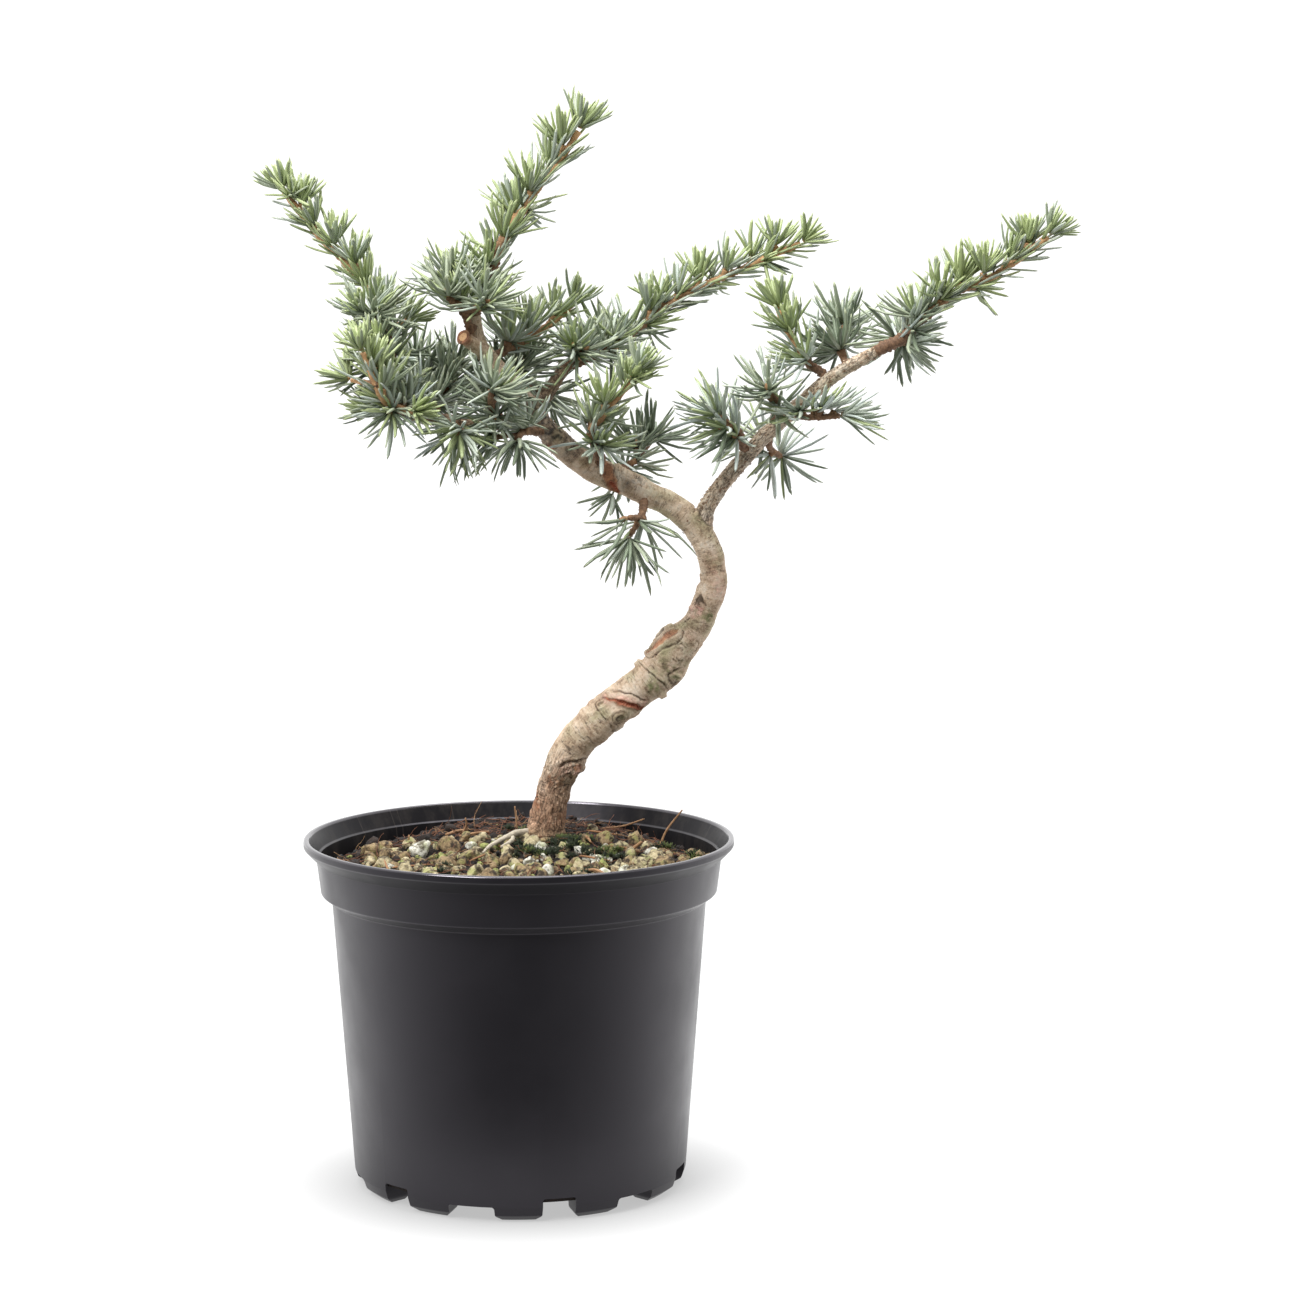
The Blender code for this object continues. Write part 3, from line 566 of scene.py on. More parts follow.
def frames_along(points):
    """Unit tangents and two cross directions that turn as little as possible along points."""
    tangents = np.gradient(points, axis=0)
    tangents /= np.linalg.norm(tangents, axis=1, keepdims=True)
    start = np.cross(tangents[0], (0.0, 1.0, 0.0))
    if np.linalg.norm(start) < 0.1:
        start = np.cross(tangents[0], (1.0, 0.0, 0.0))
    across = [start / np.linalg.norm(start)]
    for tangent in tangents[1:]:
        turned = across[-1] - tangent * across[-1].dot(tangent)
        across.append(turned / np.linalg.norm(turned))
    across = np.array(across)
    return tangents, across, np.cross(tangents, across)


class Heap:
    """Many shapes gathered into one mesh, each face with a material number."""

    def __init__(self):
        self.corners = []
        self.faces = []
        self.slots = []
        self.values = []
        self.count = 0

    def add(self, corners, faces, slots, values=None):
        self.corners.append(np.asarray(corners))
        self.faces += [[index + self.count for index in face] for face in faces]
        self.slots += slots
        self.values.append(np.zeros(len(corners)) if values is None else values)
        self.count += len(corners)

    def add_tube(self, line, sides, slot, values=None, closed=True, rough=0.0):
        """A round tube along points of (x, y, z, radius), with flat ends and a rough skin."""
        points = np.array([point[:3] for point in line])
        radii = np.array([point[3] for point in line])
        _, across, over = frames_along(points)
        angles = np.arange(sides) * math.tau / sides
        ring = across[:, None] * np.cos(angles)[:, None] + over[:, None] * np.sin(angles)[:, None]
        reach = np.broadcast_to(radii[:, None], (len(line), sides)).copy()
        if rough:
            plain = points[:, None] + ring * reach[:, :, None]
            for i in range(len(line)):
                for k in range(sides):
                    reach[i, k] *= 1.0 + rough * noise.noise(Vector(plain[i, k]) / (0.9 * MM))
        corners = (points[:, None] + ring * reach[:, :, None]).reshape(-1, 3)
        faces = []
        for i in range(len(line) - 1):
            for k in range(sides):
                a, b = i * sides + k, i * sides + (k + 1) % sides
                faces.append((a, b, b + sides, a + sides))
        if closed:
            last = (len(line) - 1) * sides
            faces.append(tuple(range(sides))[::-1])
            faces.append(tuple(range(last, last + sides)))
        spread = None if values is None else np.repeat(values, sides)
        self.add(corners, faces, [slot] * len(faces), spread)

    def to_object(self, name, materials, smooth=True, value_name=None):
        mesh = bpy.data.meshes.new(name)
        mesh.from_pydata(np.concatenate(self.corners).tolist(), [], self.faces)
        for material in materials:
            mesh.materials.append(material)
        mesh.polygons.foreach_set("material_index", self.slots)
        if value_name:
            layer = mesh.attributes.new(value_name, "FLOAT", "POINT")
            layer.data.foreach_set("value", np.concatenate(self.values))
        if smooth:
            mesh.shade_smooth()
        mesh.update()
        return new_object(name, mesh)


def rounded(corners, steps=CORNER_STEPS):
    """An open profile of (radius, height, rounding) with each rounding made an arc."""
    profile = []
    for i, (r, z, rounding) in enumerate(corners):
        if rounding <= 0.0 or i in (0, len(corners) - 1):
            profile.append((r, z))
            continue
        here = Vector((r, z))
        before = Vector(corners[i - 1][:2]) - here
        after = Vector(corners[i + 1][:2]) - here
        half = before.angle(after) / 2.0
        room = min(before.length, after.length) * 0.48
        back = min(rounding / math.tan(half), room)
        radius = back * math.tan(half)
        middle = here + (before.normalized() + after.normalized()).normalized() * (
            radius / math.sin(half)
        )
        first = here + before.normalized() * back - middle
        last = here + after.normalized() * back - middle
        sweep = first.angle_signed(last)
        for k in range(steps + 1):
            turned = first.copy()
            turned.rotate(Matrix.Rotation(-sweep * k / steps, 2))
            profile.append(tuple(middle + turned))
    return profile


def turned_mesh(name, profile, steps):
    """A turned shape from a profile of (radius, height) in millimetres."""
    mesh = bpy.data.meshes.new(name)
    corners = [(radius * MM, 0.0, height * MM) for radius, height in profile]
    mesh.from_pydata(corners, [(i, i + 1) for i in range(len(corners) - 1)], [])
    made = new_object(name, mesh)
    screw = made.modifiers.new("turn", "SCREW")
    screw.steps = steps
    screw.render_steps = steps
    screw.use_merge_vertices = True
    screw.merge_threshold = 0.00001
    return made


def pot_inside():
    """The inner face of the pot from its floor up to its mouth, with roundings."""
    return [
        (0.0, POT_PAD_THICKNESS, 0.0),
        (POT_PAD_R - POT_WALL, POT_PAD_THICKNESS, 1.0),
        (POT_PAD_R - POT_WALL + POT_PAD_FLARE, POT_FLOOR_TOP_Z, 1.0),
        (POT_BODY_BOTTOM_R - POT_WALL, POT_FLOOR_TOP_Z, 1.5),
        (POT_BODY_TOP_R - POT_WALL, POT_BODY_TOP_Z - POT_WALL, 1.0),
        (POT_BAND_BOTTOM_R - POT_WALL, POT_BAND_BOTTOM_Z + POT_WALL, 1.0),
        (POT_BAND_TOP_R - POT_WALL, LEDGE_LOW_Z, 0.3),
        (LEDGE_R, LEDGE_Z, 0.4),
        (POT_MOUTH_R, POT_HEIGHT, 0.9),
    ]


def pot_outside():
    """The outer face of the pot from its rim down to its underside, with roundings."""
    return [
        (POT_RIM_R, POT_HEIGHT, 1.0),
        (POT_RIM_R, POT_HEIGHT - POT_LIP_DROP, 1.0),
        (POT_LIP_CURL_R, POT_LIP_CURL_Z, 0.8),
        (POT_BAND_TOP_R, POT_BAND_TOP_Z, 0.8),
        (POT_BAND_BOTTOM_R, POT_BAND_BOTTOM_Z, 1.2),
        (POT_BODY_TOP_R, POT_BODY_TOP_Z, 1.0),
        (POT_BODY_BOTTOM_R, POT_BODY_BOTTOM_Z, 1.5),
        (POT_BODY_BOTTOM_R - POT_FOOT_ROUND / 2, POT_FOOT_ROUND, 1.5),
        (POT_FOOT_R, 0.0, 0.8),
        (POT_FOOT_INNER_R, 0.0, 0.8),
        (POT_FOOT_INNER_R - POT_FOOT_DRAFT, POT_FLOOR_UNDER_Z, 0.8),
        (POT_PAD_R + POT_PAD_FLARE, POT_FLOOR_UNDER_Z, 1.0),
        (POT_PAD_R, 0.0, 0.6),
        (0.0, 0.0, 0.0),
    ]


def foot_gap_cutter(angle, width, top):
    """A rounded notch across the foot ring at an angle from the front, up to a height."""
    half = width / 2
    outline = rounded([
        (-half - FOOT_CORNER * 2, -FOOT_CORNER, 0.0),
        (-half - FOOT_CORNER, 0.0, FOOT_CORNER),
        (-half, FOOT_CORNER, FOOT_CORNER),
        (-half, top, 1.2),
        (half, top, 1.2),
        (half, FOOT_CORNER, FOOT_CORNER),
        (half + FOOT_CORNER, 0.0, FOOT_CORNER),
        (half + FOOT_CORNER * 2, -FOOT_CORNER, 0.0),
    ])
    work = bmesh.new()
    inner = POT_FOOT_INNER_R - 3.0
    face = work.faces.new([work.verts.new((inner * MM, y * MM, z * MM)) for y, z in outline])
    pushed = bmesh.ops.extrude_face_region(work, geom=[face])
    moved = [item for item in pushed["geom"] if isinstance(item, bmesh.types.BMVert)]
    bmesh.ops.translate(work, verts=moved, vec=(GAP_CUTTER_DEPTH * MM, 0.0, 0.0))
    bmesh.ops.recalc_face_normals(work, faces=work.faces)
    turn = Matrix.Rotation(math.radians(angle - 90.0), 4, "Z")
    bmesh.ops.transform(work, matrix=turn, verts=work.verts)
    mesh = bpy.data.meshes.new("foot_gap")
    work.to_mesh(mesh)
    work.free()
    return new_object("foot_gap", mesh)


def pot_finish(name, base, dust_colour, dusty, inner):
    """Black moulded plastic with a fine grain, dull patches, scuffs and a little dust."""
    made = Finish(name, base, 0.36, Specular_Tint=(0.95, 0.9, 1.0, 1.0))
    grain = made.noise(0.5, 2.0)
    patches = made.noise(28.0, 3.0)
    made.bump(grain, 0.02, 0.4)
    scuffs = made.noise(1.2, 3.0, vector=made.stretched((1.0, 1.0, 0.06)))
    made.bump(scuffs, 0.02, 0.3)
    split = made.node("ShaderNodeSeparateXYZ")
    made.link(made.place(), split.inputs[0])
    height = split.outputs["Z"]
    rim = made.spread(height, RIM_GLOSS_Z * MM, (RIM_GLOSS_Z + 0.5) * MM)
    dull = made.spread(patches, 0.3, 0.7, 0.3, 0.42)
    made.roughness(made.math("SUBTRACT", dull, made.math("MULTIPLY", rim, 0.2)))
    low, high = (LEDGE_LOW_Z, LEDGE_Z) if inner else (POT_BAND_TOP_Z, POT_HEIGHT - POT_LIP_DROP - 0.6)
    zone = made.math("MULTIPLY", made.spread(height, (low - 0.1) * MM, (low + 0.1) * MM),
                     made.spread(height, (high - 0.2) * MM, (high + 0.3) * MM, 1.0, 0.0))
    shine = made.spread(zone, 0.0, 1.0, *((0.1, 0.4) if inner else (0.5, 0.16)))
    made.link(made.math("MAXIMUM", shine, rim), made.shader.inputs["Specular IOR Level"])
    specks = made.spread(made.noise(0.7, 4.0, 0.7), 0.74 - dusty * 0.06, 0.82)
    streaks = made.noise(6.0, 4.0, 0.65, vector=made.stretched((1.0, 1.0, 0.15)))
    film = made.spread(streaks, 0.45, 0.75, 0.0, dusty)
    dust = made.math("MAXIMUM", specks, film)
    if inner:
        turn = made.math("ARCTAN2", split.outputs["Y"], split.outputs["X"])
        for angle in SEAM_ANGLES:
            away = math.radians(angle if angle < 180.0 else angle - 360.0)
            gap = made.math("ABSOLUTE", made.math("SUBTRACT", turn, away), 0.0)
            seam = made.spread(gap, 0.002, 0.0042, 0.75, 0.0)
            dust = made.math("MAXIMUM", dust, made.math("MULTIPLY", seam, scuffs))
    made.colour(made.mix(dust, base, dust_colour))
    return made.material


def make_pot():
    """The pot's thin shell with its rolled rim, band and six pairs of feet."""
    shell = turned_mesh("pot_shell", rounded(pot_inside() + pot_outside()), POT_STEPS)
    notches = bpy.data.collections.new("foot_gaps")
    bpy.context.scene.collection.children.link(notches)
    for pair in range(FOOT_PAIRS):
        angle = FIRST_PAIR_ANGLE + pair * 360.0 / FOOT_PAIRS
        for cutter in (
            foot_gap_cutter(angle, DRAIN_SLOT_WIDTH, DRAIN_SLOT_TOP),
            foot_gap_cutter(angle + 180.0 / FOOT_PAIRS, PLAIN_GAP_WIDTH, PLAIN_GAP_TOP),
        ):
            bpy.context.scene.collection.objects.unlink(cutter)
            notches.objects.link(cutter)
    cut = shell.modifiers.new("foot_gaps", "BOOLEAN")
    cut.operation = "DIFFERENCE"
    cut.operand_type = "COLLECTION"
    cut.collection = notches
    cut.solver = "EXACT"
    mesh = evaluated_mesh(shell)
    shell.modifiers.clear()
    shell.data = mesh
    for cutter in list(notches.objects):
        bpy.data.objects.remove(cutter, do_unlink=True)
    bpy.data.collections.remove(notches)
    mesh.shade_smooth()
    mesh.set_sharp_from_angle(angle=math.radians(35.0))
    mesh.materials.clear()
    mesh.materials.append(pot_finish("pot_plastic", PLASTIC, (0.05, 0.046, 0.04), 0.0, False))
    mesh.materials.append(pot_finish("pot_inner_wall", INNER_PLASTIC, (0.06, 0.052, 0.045), 0.3, True))
    for face in mesh.polygons:
        middle, normal = face.center, face.normal
        inward = middle.x * normal.x + middle.y * normal.y < -0.3 * middle.xy.length
        face.material_index = int(inward and middle.z > POT_FLOOR_TOP_Z * MM)
    finish_piece(shell, "pot", "pot")


def soil_height(x, y):
    """Height of the soil at a place, in millimetres: a mound at the trunk and low waves."""
    foot_x, foot_y = TRUNK_STATIONS[0][:2]
    away = math.hypot(x - foot_x, y - foot_y)
    fall = min(1.0, max(0.0, (away - SOIL_MOUND_FLAT_R) / SOIL_MOUND_FALL))
    ease = fall * fall * (3.0 - 2.0 * fall)
    wave = math.sin(x / SOIL_WAVE_LENGTH * math.tau) * math.cos(y / SOIL_WAVE_LENGTH * math.tau)
    return SOIL_MOUND_Z + ease * (SOIL_EDGE_Z - SOIL_MOUND_Z + SOIL_WAVE_HEIGHT * wave)


def soil_edge():
    """The radius at which the soil would meet the wall at its even height."""
    low_r, low_z = POT_BAND_BOTTOM_R - POT_WALL, POT_BAND_BOTTOM_Z + POT_WALL
    high_r, high_z = POT_BAND_TOP_R - POT_WALL, POT_BAND_TOP_Z + POT_WALL / 2
    return high_r - (high_r - low_r) / (high_z - low_z) * (high_z - SOIL_EDGE_Z) - GAP


def peat_finish():
    made = Finish("dark_peat", (0.03, 0.02, 0.012), 0.95)
    crumbs = made.noise(1.4, 6.0, 0.75)
    made.colour(made.ramp(crumbs, (0.3, (0.0015, 0.001, 0.0008)), (0.5, (0.009, 0.0045, 0.0027)),
                          (0.66, (0.028, 0.0125, 0.007))))
    made.bump(crumbs, 1.2)
    return made.material


def soil_lump(x, y):
    """How far the peat stands above or below the soil's even height, in millimetres."""
    return (noise.fractal(Vector((x, y, 0.0)) / 7.0, 1.0, 2.0, 4) * 1.6
            + noise.noise(Vector((x, y, 5.0)) / 1.9) * 0.8 - 1.1)


def soil_sag(x, y):
    """How far the soil has sunk along the wall, where a minus stands for a heap."""
    near_wall = min(1.0, max(0.0, (math.hypot(x, y) - SAG_START_R) / SAG_WIDTH))
    angle = math.degrees(math.atan2(y, x))
    return near_wall * near_wall * (SOIL_EDGE_Z - float(np.interp(angle, WALL_ANGLES, WALL_HEIGHTS)))


def surface_height(x, y):
    """The height of the dressed soil, in millimetres."""
    return soil_height(x, y) + soil_lump(x, y) * 0.7 - soil_sag(x, y)


def bareness_and_shade(x, y):
    """Above about 0.35 the peat lies bare: behind the trunk, right of it and by the left wall; the bare
    dark peat behind and right of the trunk also stands for the shade that falls there.
    """
    behind = (y - 31.0) / 20.0 if x < 8.0 else (y - 20.0) / 22.0
    return noise.noise(Vector((x, y, 3.0)) / 16.0) * 0.45 + max(behind, (-x - 64.0) / 14.0)


def make_soil_bed():
    """The dark compost, lumpy on top, that carries the granules."""
    edge_r = soil_edge()
    rings = int(edge_r / SOIL_RING_STEP)
    top = [(edge_r * ring / rings, SOIL_EDGE_Z) for ring in range(rings + 1)]
    lower = [(max(0.0, r - GAP), z + GAP) for r, z, _ in pot_inside()[:-3]]
    bed = turned_mesh("soil_bed", top + lower[::-1], SOIL_STEPS)
    mesh = evaluated_mesh(bed)
    bed.modifiers.clear()
    bed.data = mesh
    for vertex in mesh.vertices:
        x, y, z = vertex.co / MM
        if abs(z - SOIL_EDGE_Z) < 0.01:
            vertex.co.z = (surface_height(x, y) + soil_lump(x, y) * 0.3) * MM
    mesh.shade_smooth()
    mesh.materials.clear()
    mesh.materials.append(peat_finish())
    finish_piece(bed, "soil", "soil")


def granule_finish(name, low, high, dark, mossy):
    """Crumbly clay, stained dark in places and green with algae in patches."""
    made = Finish(name, low, 0.85)
    grain = made.noise(1.3, 5.0, 0.7)
    stain = made.spread(made.noise(3.2, 4.0, 0.65), 0.46, 0.6, 0.0, 0.94)
    plain = made.mix(made.spread(grain, 0.3, 0.7), low, high)
    patches = made.spread(made.noise(5.5, 3.0, 0.6), 0.52, 0.62, 0.0, mossy)
    made.colour(made.mix(stain, made.mix(patches, plain, (0.26, 0.29, 0.075)), dark))
    made.bump(grain, 0.5)
    return made.material


def sphere_of(detail):
    """Corners and faces of a unit ball of triangles."""
    work = bmesh.new()
    bmesh.ops.create_icosphere(work, subdivisions=detail, radius=1.0)
    corners = np.array([vertex.co[:] for vertex in work.verts])
    faces = [tuple(vertex.index for vertex in face.verts) for face in work.faces]
    work.free()
    return corners, faces


def granule(chooser, size, ball):
    """A crumbly clay grain with worn flats and pits, as corners."""
    shift = Vector([chooser.uniform(0.0, 50.0) for _ in range(3)])
    stretch = np.array([chooser.uniform(0.7, 1.2) for _ in range(3)])
    places = ball.copy()
    for _ in range(9):
        facing = np.array([chooser.gauss(0.0, 1.0) for _ in range(3)])
        facing /= np.linalg.norm(facing)
        over = np.maximum(0.0, places @ facing - chooser.uniform(0.5, 0.85))
        places -= over[:, None] * facing * 0.92
    for i, place in enumerate(places):
        spot = Vector(place)
        lumps = noise.noise(spot * 1.7 + shift) * 0.2 + noise.noise(spot * 4.5 + shift) * 0.09
        places[i] *= 1.0 + lumps
    turn = Matrix.Rotation(chooser.uniform(0.0, math.tau), 3, "Z")
    tip = Matrix.Rotation(chooser.uniform(0.0, math.tau), 3, "X")
    return (places * stretch * size) @ np.array(turn @ tip).T


# Grains by kind, each with its low, high and stain colours and how green its patches are
GRAINS = {
    "tan_granules": ((0.13, 0.082, 0.038), (0.36, 0.262, 0.138), (0.015, 0.008, 0.0045), 0.45),
    "cream_granules": ((0.20, 0.155, 0.075), (0.60, 0.52, 0.33), (0.03, 0.018, 0.009), 0.6),
    "lime_granules": ((0.13, 0.145, 0.03), (0.42, 0.44, 0.16), (0.03, 0.03, 0.008), 0.8),
    "dark_crumbs_and_gap_shade": ((0.006, 0.003, 0.0018), (0.030, 0.0135, 0.007), (0.002, 0.0013, 0.0008), 0.0),
    "pale_bits": ((0.40, 0.38, 0.29), (0.84, 0.83, 0.75), (0.08, 0.065, 0.035), 0.5),
}
GRAIN_SIZES = ((5.2, 26), (4.3, 150), (3.3, 380), (2.5, 420), (1.8, 520), (1.1, 700))
GRAIN_PACKING = 0.7
PALE_MIDDLE = (26.0, -4.0)
PALE_REACH = 26.0


def grain_kind(x, y, size, chooser):
    """The kind of grain at a place: crumbs on bare peat, pale ones before the trunk."""
    if bareness_and_shade(x, y) > 0.3 and chooser.random() < 0.9:
        return "dark_crumbs_and_gap_shade"
    away = math.hypot(x - PALE_MIDDLE[0], y - PALE_MIDDLE[1]) / PALE_REACH
    if chooser.random() < 0.03 + 0.3 * math.exp(-away * away):
        return "pale_bits"
    green = noise.noise(Vector((x, y, 9.0)) / 14.0) + chooser.random() * 0.8
    if green > 0.88 and size < 4.0:
        return "lime_granules"
    # Most small grains become dark crumbs: partly peat crumbs, partly painted shade in the gaps between
    # the larger grains.
    if size < 2.0 and chooser.random() < 0.8:
        return "dark_crumbs_and_gap_shade"
    return "cream_granules" if chooser.random() < 0.45 else "tan_granules"


def make_granules():
    """Clay grains, crumbs and pale bits on the compost, large ones first."""
    chooser = random.Random(SEED + 1)
    heaps = {name: Heap() for name in GRAINS}
    balls = {detail: sphere_of(detail) for detail in (1, 2, 3)}
    edge_r = soil_edge()
    foot = Vector(TRUNK_STATIONS[0][:2])
    placed = np.empty((sum(count for _, count in GRAIN_SIZES), 3))
    filled = 0
    for top_size, count in GRAIN_SIZES:
        for _ in range(count):
            size = top_size * chooser.uniform(0.8, 1.15)
            r = (edge_r - size * 0.9) * math.sqrt(chooser.random())
            turn = chooser.uniform(0.0, math.tau)
            x, y = r * math.cos(turn), r * math.sin(turn)
            if math.hypot(x - foot.x, y - foot.y) < TRUNK_STATIONS[0][3] + size * 0.5:
                continue
            near = np.hypot(placed[:filled, 0] - x, placed[:filled, 1] - y)
            if (near < (placed[:filled, 2] + size) * GRAIN_PACKING).any():
                continue
            if bareness_and_shade(x, y) > 0.35 and size > 1.8 and chooser.random() < 0.93:
                continue
            placed[filled] = x, y, size
            filled += 1
            name = grain_kind(x, y, size, chooser)
            detail = 3 if size > 3.6 else 2 if size > 1.3 else 1
            corners = granule(chooser, size * MM, balls[detail][0])
            height = surface_height(x, y) + size * chooser.uniform(-0.25, 0.42)
            corners += np.array((x * MM, y * MM, height * MM))
            faces = balls[detail][1]
            heaps[name].add(corners, faces, [0] * len(faces))
    for name, colours in GRAINS.items():
        grains = heaps[name].to_object(name, [granule_finish("clay_" + name, *colours)])
        finish_piece(grains, "soil")


def litter_finish(name, low, high):
    made = Finish(name, low, 0.8)
    made.colour(made.mix(made.noise(2.5, 4.0, 0.7), low, high))
    made.bump(made.noise(0.8, 3.0), 0.2)
    return made.material


# Sticks and a root on the soil: points with a radius, in millimetres
STICKS = (
    [(63.0, 20.0, 146.0, 0.55), (66.0, 20.0, 153.0, 0.5), (73.0, 19.0, 162.5, 0.35)],
    [(47.0, 2.0, 145.0, 0.8), (50.5, 1.0, 148.5, 0.8), (54.0, 0.0, 151.5, 0.65)],
    [(-1.0, 60.0, 146.0, 0.5), (-1.5, 60.0, 153.0, 0.4), (-2.0, 60.0, 157.5, 0.3)],
    [(-50.0, 30.0, 145.0, 0.5), (-49.5, 29.0, 150.0, 0.4)],
    [(-26.0, 52.0, 146.0, 0.5), (-24.0, 51.0, 151.0, 0.45), (-24.5, 50.0, 154.0, 0.35)],
    [(28.0, -40.0, 146.5, 0.75), (33.0, -47.0, 148.0, 0.7), (37.0, -52.0, 147.0, 0.5)],
    [(-24.0, 60.0, 146.5, 0.9), (-29.0, 48.0, 148.0, 0.8), (-33.0, 38.0, 148.5, 0.6)],
    [(-14.0, 44.0, 148.5, 0.7), (-20.0, 38.0, 149.0, 0.7), (-27.0, 34.0, 148.5, 0.5)],
    [(27.0, 26.0, 149.0, 0.6), (30.0, 20.0, 150.5, 0.7), (32.0, 14.0, 149.0, 0.4)],
    [(38.0, 62.0, 146.5, 0.5), (48.0, 55.0, 149.0, 0.45), (57.0, 50.0, 153.0, 0.3)],
)
ROOTS = (
    [(4.0, 37.5, 149.6, 1.7), (-1.0, 31.0, 150.3, 1.5), (-5.0, 22.0, 150.4, 1.2),
     (-9.5, 13.0, 149.8, 1.0), (-13.5, 4.0, 149.0, 0.8), (-16.0, -2.0, 147.6, 0.5)],
    [(-3.0, 25.0, 149.4, 1.1), (-3.5, 15.0, 149.6, 1.0), (-8.0, 6.0, 148.6, 0.6)],
)
MOSS_PATCHES = (((24.0, 20.0), 13.0, 20), ((34.0, 0.0), 15.0, 14), ((8.0, 4.0), 14.0, 16),
                ((64.0, 21.0), 4.0, 4), ((78.0, 6.0), 6.0, 5), ((-40.0, -30.0), 14.0, 5),
                ((10.0, 50.0), 14.0, 8), ((30.0, -40.0), 16.0, 7))


def make_litter():
    """Peat fibres, fallen needles, sticks and a bared root on the soil."""
    chooser = random.Random(SEED + 3)
    edge_r = soil_edge() - 3.0
    fibres = Heap()
    for _ in range(900):
        r = edge_r * math.sqrt(chooser.random())
        turn = chooser.uniform(0.0, math.tau)
        x, y = r * math.cos(turn), r * math.sin(turn)
        if bareness_and_shade(x, y) < 0.15 and chooser.random() < 0.6:
            continue
        way = chooser.uniform(0.0, math.tau)
        length = chooser.uniform(4.0, 15.0)
        curl = chooser.uniform(-1.6, 1.6)
        rise = chooser.choice((0.0, 0.0, 0.3, 0.8)) * chooser.random()
        line = []
        for k in range(7):
            share = k / 6.0
            place = (x, y, surface_height(x, y) + 1.4 + rise * length * share)
            thick = chooser.uniform(0.12, 0.26) * (1.0 - 0.5 * share)
            line.append((*[value * MM for value in place], thick * MM))
            way += curl / 6.0 + chooser.uniform(-0.3, 0.3)
            step = length / 6.0 * (1.0 - 0.5 * min(1.0, rise))
            x, y = x + math.cos(way) * step, y + math.sin(way) * step
        if math.hypot(x, y) < edge_r:
            fibres.add_tube(line, 5, int(chooser.random() < 0.2))
    finish_piece(fibres.to_object("peat_fibres", [
        litter_finish("brown_fibre", (0.07, 0.026, 0.012), (0.21, 0.08, 0.036)),
        litter_finish("tan_fibre", (0.16, 0.085, 0.04), (0.32, 0.19, 0.09)),
    ]), "soil")

    fallen = Heap()
    for _ in range(9):
        r = edge_r * math.sqrt(chooser.random())
        turn = chooser.uniform(0.0, math.tau)
        x, y = r * math.cos(turn), r * math.sin(turn)
        way = chooser.uniform(0.0, math.tau)
        half = chooser.uniform(7.0, 11.0)
        tilt = chooser.uniform(-0.12, 0.2)
        line = []
        for k in range(7):
            share = k / 3.0 - 1.0
            thick = 0.5 * (1.0 - 0.75 * abs(share) ** 3)
            place = (x + math.cos(way) * half * share, y + math.sin(way) * half * share,
                     surface_height(x, y) + 2.6 + tilt * half * share)
            line.append((*[value * MM for value in place], thick * MM))
        if math.hypot(x, y) + half < edge_r:
            fallen.add_tube(line, 5, 0)
    finish_piece(fallen.to_object("fallen_needles", [
        litter_finish("dry_needle", (0.20, 0.085, 0.035), (0.36, 0.185, 0.08))]), "soil")

    sticks = Heap()
    for points in STICKS:
        line = smooth_line([metres(point) for point in points], 1.0 * MM)
        sticks.add_tube(line, 8, 0, rough=0.3)
    for points in ROOTS:
        line = smooth_line([metres(point) for point in points], 0.8 * MM)
        sticks.add_tube(line, 12, 1, rough=0.3)
    finish_piece(sticks.to_object("sticks_and_root", [
        litter_finish("stick_bark", (0.16, 0.075, 0.035), (0.40, 0.23, 0.11)),
        litter_finish("bared_root", (0.28, 0.23, 0.16), (0.58, 0.53, 0.43)),
    ]), "soil")


def make_moss():
    """Cushions of moss as short leaning blades, dark ones and bright ones."""
    chooser = random.Random(SEED + 4)
    blades = Heap()
    foot = Vector(TRUNK_STATIONS[0][:2])
    for (x, y), reach, count in MOSS_PATCHES:
        for _ in range(count):
            middle = Vector((chooser.gauss(x, reach * 0.5), chooser.gauss(y, reach * 0.5)))
            if (middle - foot).length < 9.5 or middle.length > soil_edge() - 4.0:
                continue
            kind = int(chooser.random() < 0.3)
            radius = chooser.uniform(1.4, 3.2)
            for _ in range(int(20 * radius)):
                away = radius * math.sqrt(chooser.random())
                turn = chooser.uniform(0.0, math.tau)
                place = Vector((middle.x + away * math.cos(turn), middle.y + away * math.sin(turn)))
                base = surface_height(middle.x, middle.y) + 1.1 + 0.9 * (1.0 - away / radius)
                lean = Vector((math.cos(turn), math.sin(turn), 0.0)) * away / radius * 0.9
                lean += Vector([chooser.uniform(-0.8, 0.8) for _ in range(3)])
                tip = (UP + lean).normalized() * chooser.uniform(1.2, 3.4)
                side = Vector((math.sin(turn), -math.cos(turn), 0.0)) * 0.26
                root = Vector((place.x, place.y, base))
                back = side.cross(UP) * 0.8
                corners = [root + side, root - side, root + back, root + tip * 0.55 + side * 1.1,
                           root + tip * 0.55 - side * 1.1, root + tip * 0.55 + back, root + tip]
                faces = [(0, 3, 4, 1), (1, 4, 5, 2), (2, 5, 3, 0), (3, 6, 4), (4, 6, 5), (5, 6, 3),
                         (0, 1, 2)]
                blades.add([tuple(corner * MM) for corner in corners], faces, [kind] * 7)
    finish_piece(blades.to_object("moss", [
        litter_finish("dark_moss", (0.005, 0.009, 0.003), (0.024, 0.038, 0.010)),
        litter_finish("bright_moss", (0.028, 0.045, 0.010), (0.13, 0.165, 0.035)),
    ]), "soil")


